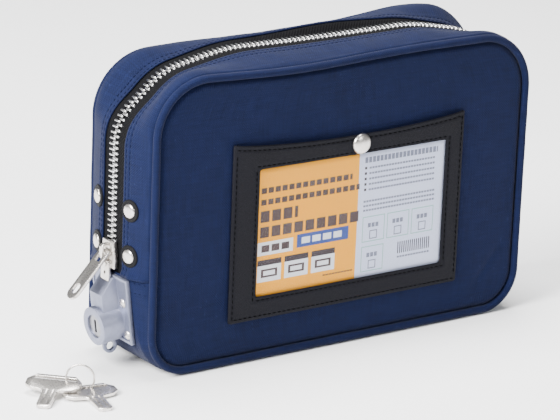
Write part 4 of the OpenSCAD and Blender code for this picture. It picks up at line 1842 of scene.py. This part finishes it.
        piece = cloth_sheet("pocket_window_film", (40, 26), (0.156, 0.091), place, facing_front, 0.0002)
        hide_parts("pocket_window", "pocket_window_foot")
        dress(piece, look.film)
        FOLD.across(piece)

    def card(self) -> None:
        """Make the printed insert card."""
        w = self.window

        def place(u: float, v: float) -> Vector:
            """Return a point of the card."""
            x, z = mix(w[0] - 0.005, w[1] + 0.003, u), mix(w[2] - 0.004, w[3] - 0.001, v)
            bow = 0.0002 * math.sin(math.pi * u) * math.sin(math.pi * v)
            return Vector((x, -0.0354 - bow, z))

        piece = cloth_sheet("insert_card_sheet", (40, 24), (0.153, 0.086), place, facing_front, 0.0003)
        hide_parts("insert_card", "insert_card_foot")
        size = (w[1] - w[0], w[3] - w[2])
        dress(piece, PrintedCard((w[0], w[2]), size, 0.0095).build())
        FOLD.across(piece)

    def snap(self, look: Wardrobe) -> None:
        """Make the snap's cap and dress its inner parts."""
        low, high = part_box("snap_cap")
        x, z = (low[0] + high[0]) / 2, (low[2] + high[2]) / 2
        r = (high[0] - low[0]) / 2
        where = axes(Vector((x, -0.0378, z)), Vector((0, -1, 0)), Vector((1, 0, 0)))
        profile = [(0.0, -0.0012), (0.0012, -0.0012), (0.0012, 0.0)]
        profile += [(r - 0.0002, 0.0), (r, 0.0003), (r, 0.0008)]
        arc = (0.25, 0.5, 0.75, 1.0, 1.2, 1.4)
        profile += [(r * math.cos(a), 0.0010 + 0.0026 * math.sin(a)) for a in arc]
        profile += [(0.0, 0.0036)]
        bm = bmesh.new()
        turned(bm, profile, where, 56)
        cap = dress(finish_mesh(bm, "snap_cap_dome"), look.nickel)
        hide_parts("snap_cap")
        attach(cap, Body.COVER.value)
        for node in ("snap_socket", "snap_stud", "snap_post"):
            part = dress(softened(node, f"{node}_ring", 0.0001), look.nickel)
            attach(part, Body.COVER.value)

    def build(self, look: Wardrobe) -> None:
        """Make the whole pocket."""
        around = 2 * (self.right - self.left + self.head - self.foot)
        piece = cloth_sheet(
            "pocket_frame_skin",
            (360, 22),
            (around, 0.02),
            self.frame_point,
            facing_front,
            self.skin,
            closed=True,
        )
        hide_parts("pocket_frame", "pocket_frame_foot")
        dress(piece, look.leather)
        FOLD.across(piece)
        self.seams(look)
        self.film(look)
        self.card()
        self.snap(look)


def facing_front(_point: Vector) -> Vector:
    """Return the direction that the front faces."""
    return Vector((0, -1, 0))


# ---------------------------------------------------------------- metalwork


@dataclass(frozen=True)
class Fitting:
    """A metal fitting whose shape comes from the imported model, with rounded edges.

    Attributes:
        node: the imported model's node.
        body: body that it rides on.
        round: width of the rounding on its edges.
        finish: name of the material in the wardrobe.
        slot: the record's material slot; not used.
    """

    node: str
    body: Body
    round: float
    finish: str
    slot: str

    def build(self, look: Wardrobe) -> None:
        """Make the fitting."""
        piece = dress(softened(self.node, f"{self.node}_part", self.round), getattr(look, self.finish))
        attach(piece, self.body.value)


@dataclass
class Metalwork:
    """Lock, slider, pull tab and keys."""

    fittings: tuple[Fitting, ...] = (
        Fitting("lock_housing", Body.BAG, 0.0005, "casting", "lock_casting"),
        Fitting("lock_tail", Body.BAG, 0.0002, "casting", "lock_casting"),
        Fitting("lock_backing_plate", Body.BAG, 0.0002, "steel", "steel_plate"),
        Fitting("lock_rivets", Body.BAG, 0.0001, "nickel", "nickel"),
        Fitting("seal_eye", Body.BAG, 0.0005, "casting", "lock_casting"),
        Fitting("lock_plug", Body.PLUG, 0.00015, "core", "nickel"),
        Fitting("slider_top_plate", Body.SLIDER, 0.0004, "nickel", "nickel"),
        Fitting("slider_bottom_plate", Body.SLIDER, 0.0003, "nickel", "nickel"),
        Fitting("slider_bridge", Body.SLIDER, 0.0004, "nickel", "nickel"),
        Fitting("lock_tongue", Body.SLIDER, 0.0003, "nickel", "nickel"),
        Fitting("tongue_rivet", Body.SLIDER, 0.0002, "nickel", "nickel"),
        Fitting("pull_tab", Body.PULL, 0.0004, "nickel", "nickel"),
        Fitting("key_ring", Body.RING, 0.0, "nickel", "nickel"),
        Fitting("left_key", Body.KEY_LEFT, 0.0003, "nickel", "nickel"),
        Fitting("right_key", Body.KEY_RIGHT, 0.0003, "nickel", "nickel"),
    )

    def build(self, look: Wardrobe) -> None:
        """Make every fitting."""
        for fitting in self.fittings:
            fitting.build(look)


# ---------------------------------------------------------------- assembly


def main() -> None:
    """Build the bag piece by piece."""
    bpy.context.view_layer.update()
    studio = Studio()
    studio.set_camera()
    studio.set_lights()
    look = Wardrobe()
    studio.lay_floor(look.floor)
    for assembly in (Panels(), ZipSide(), Gusset(), GussetRivets(), WindowPocket(), Metalwork()):
        LOG.info("assembly %s", type(assembly).__name__)
        assembly.build(look)


if __name__ == "__main__":
    main()
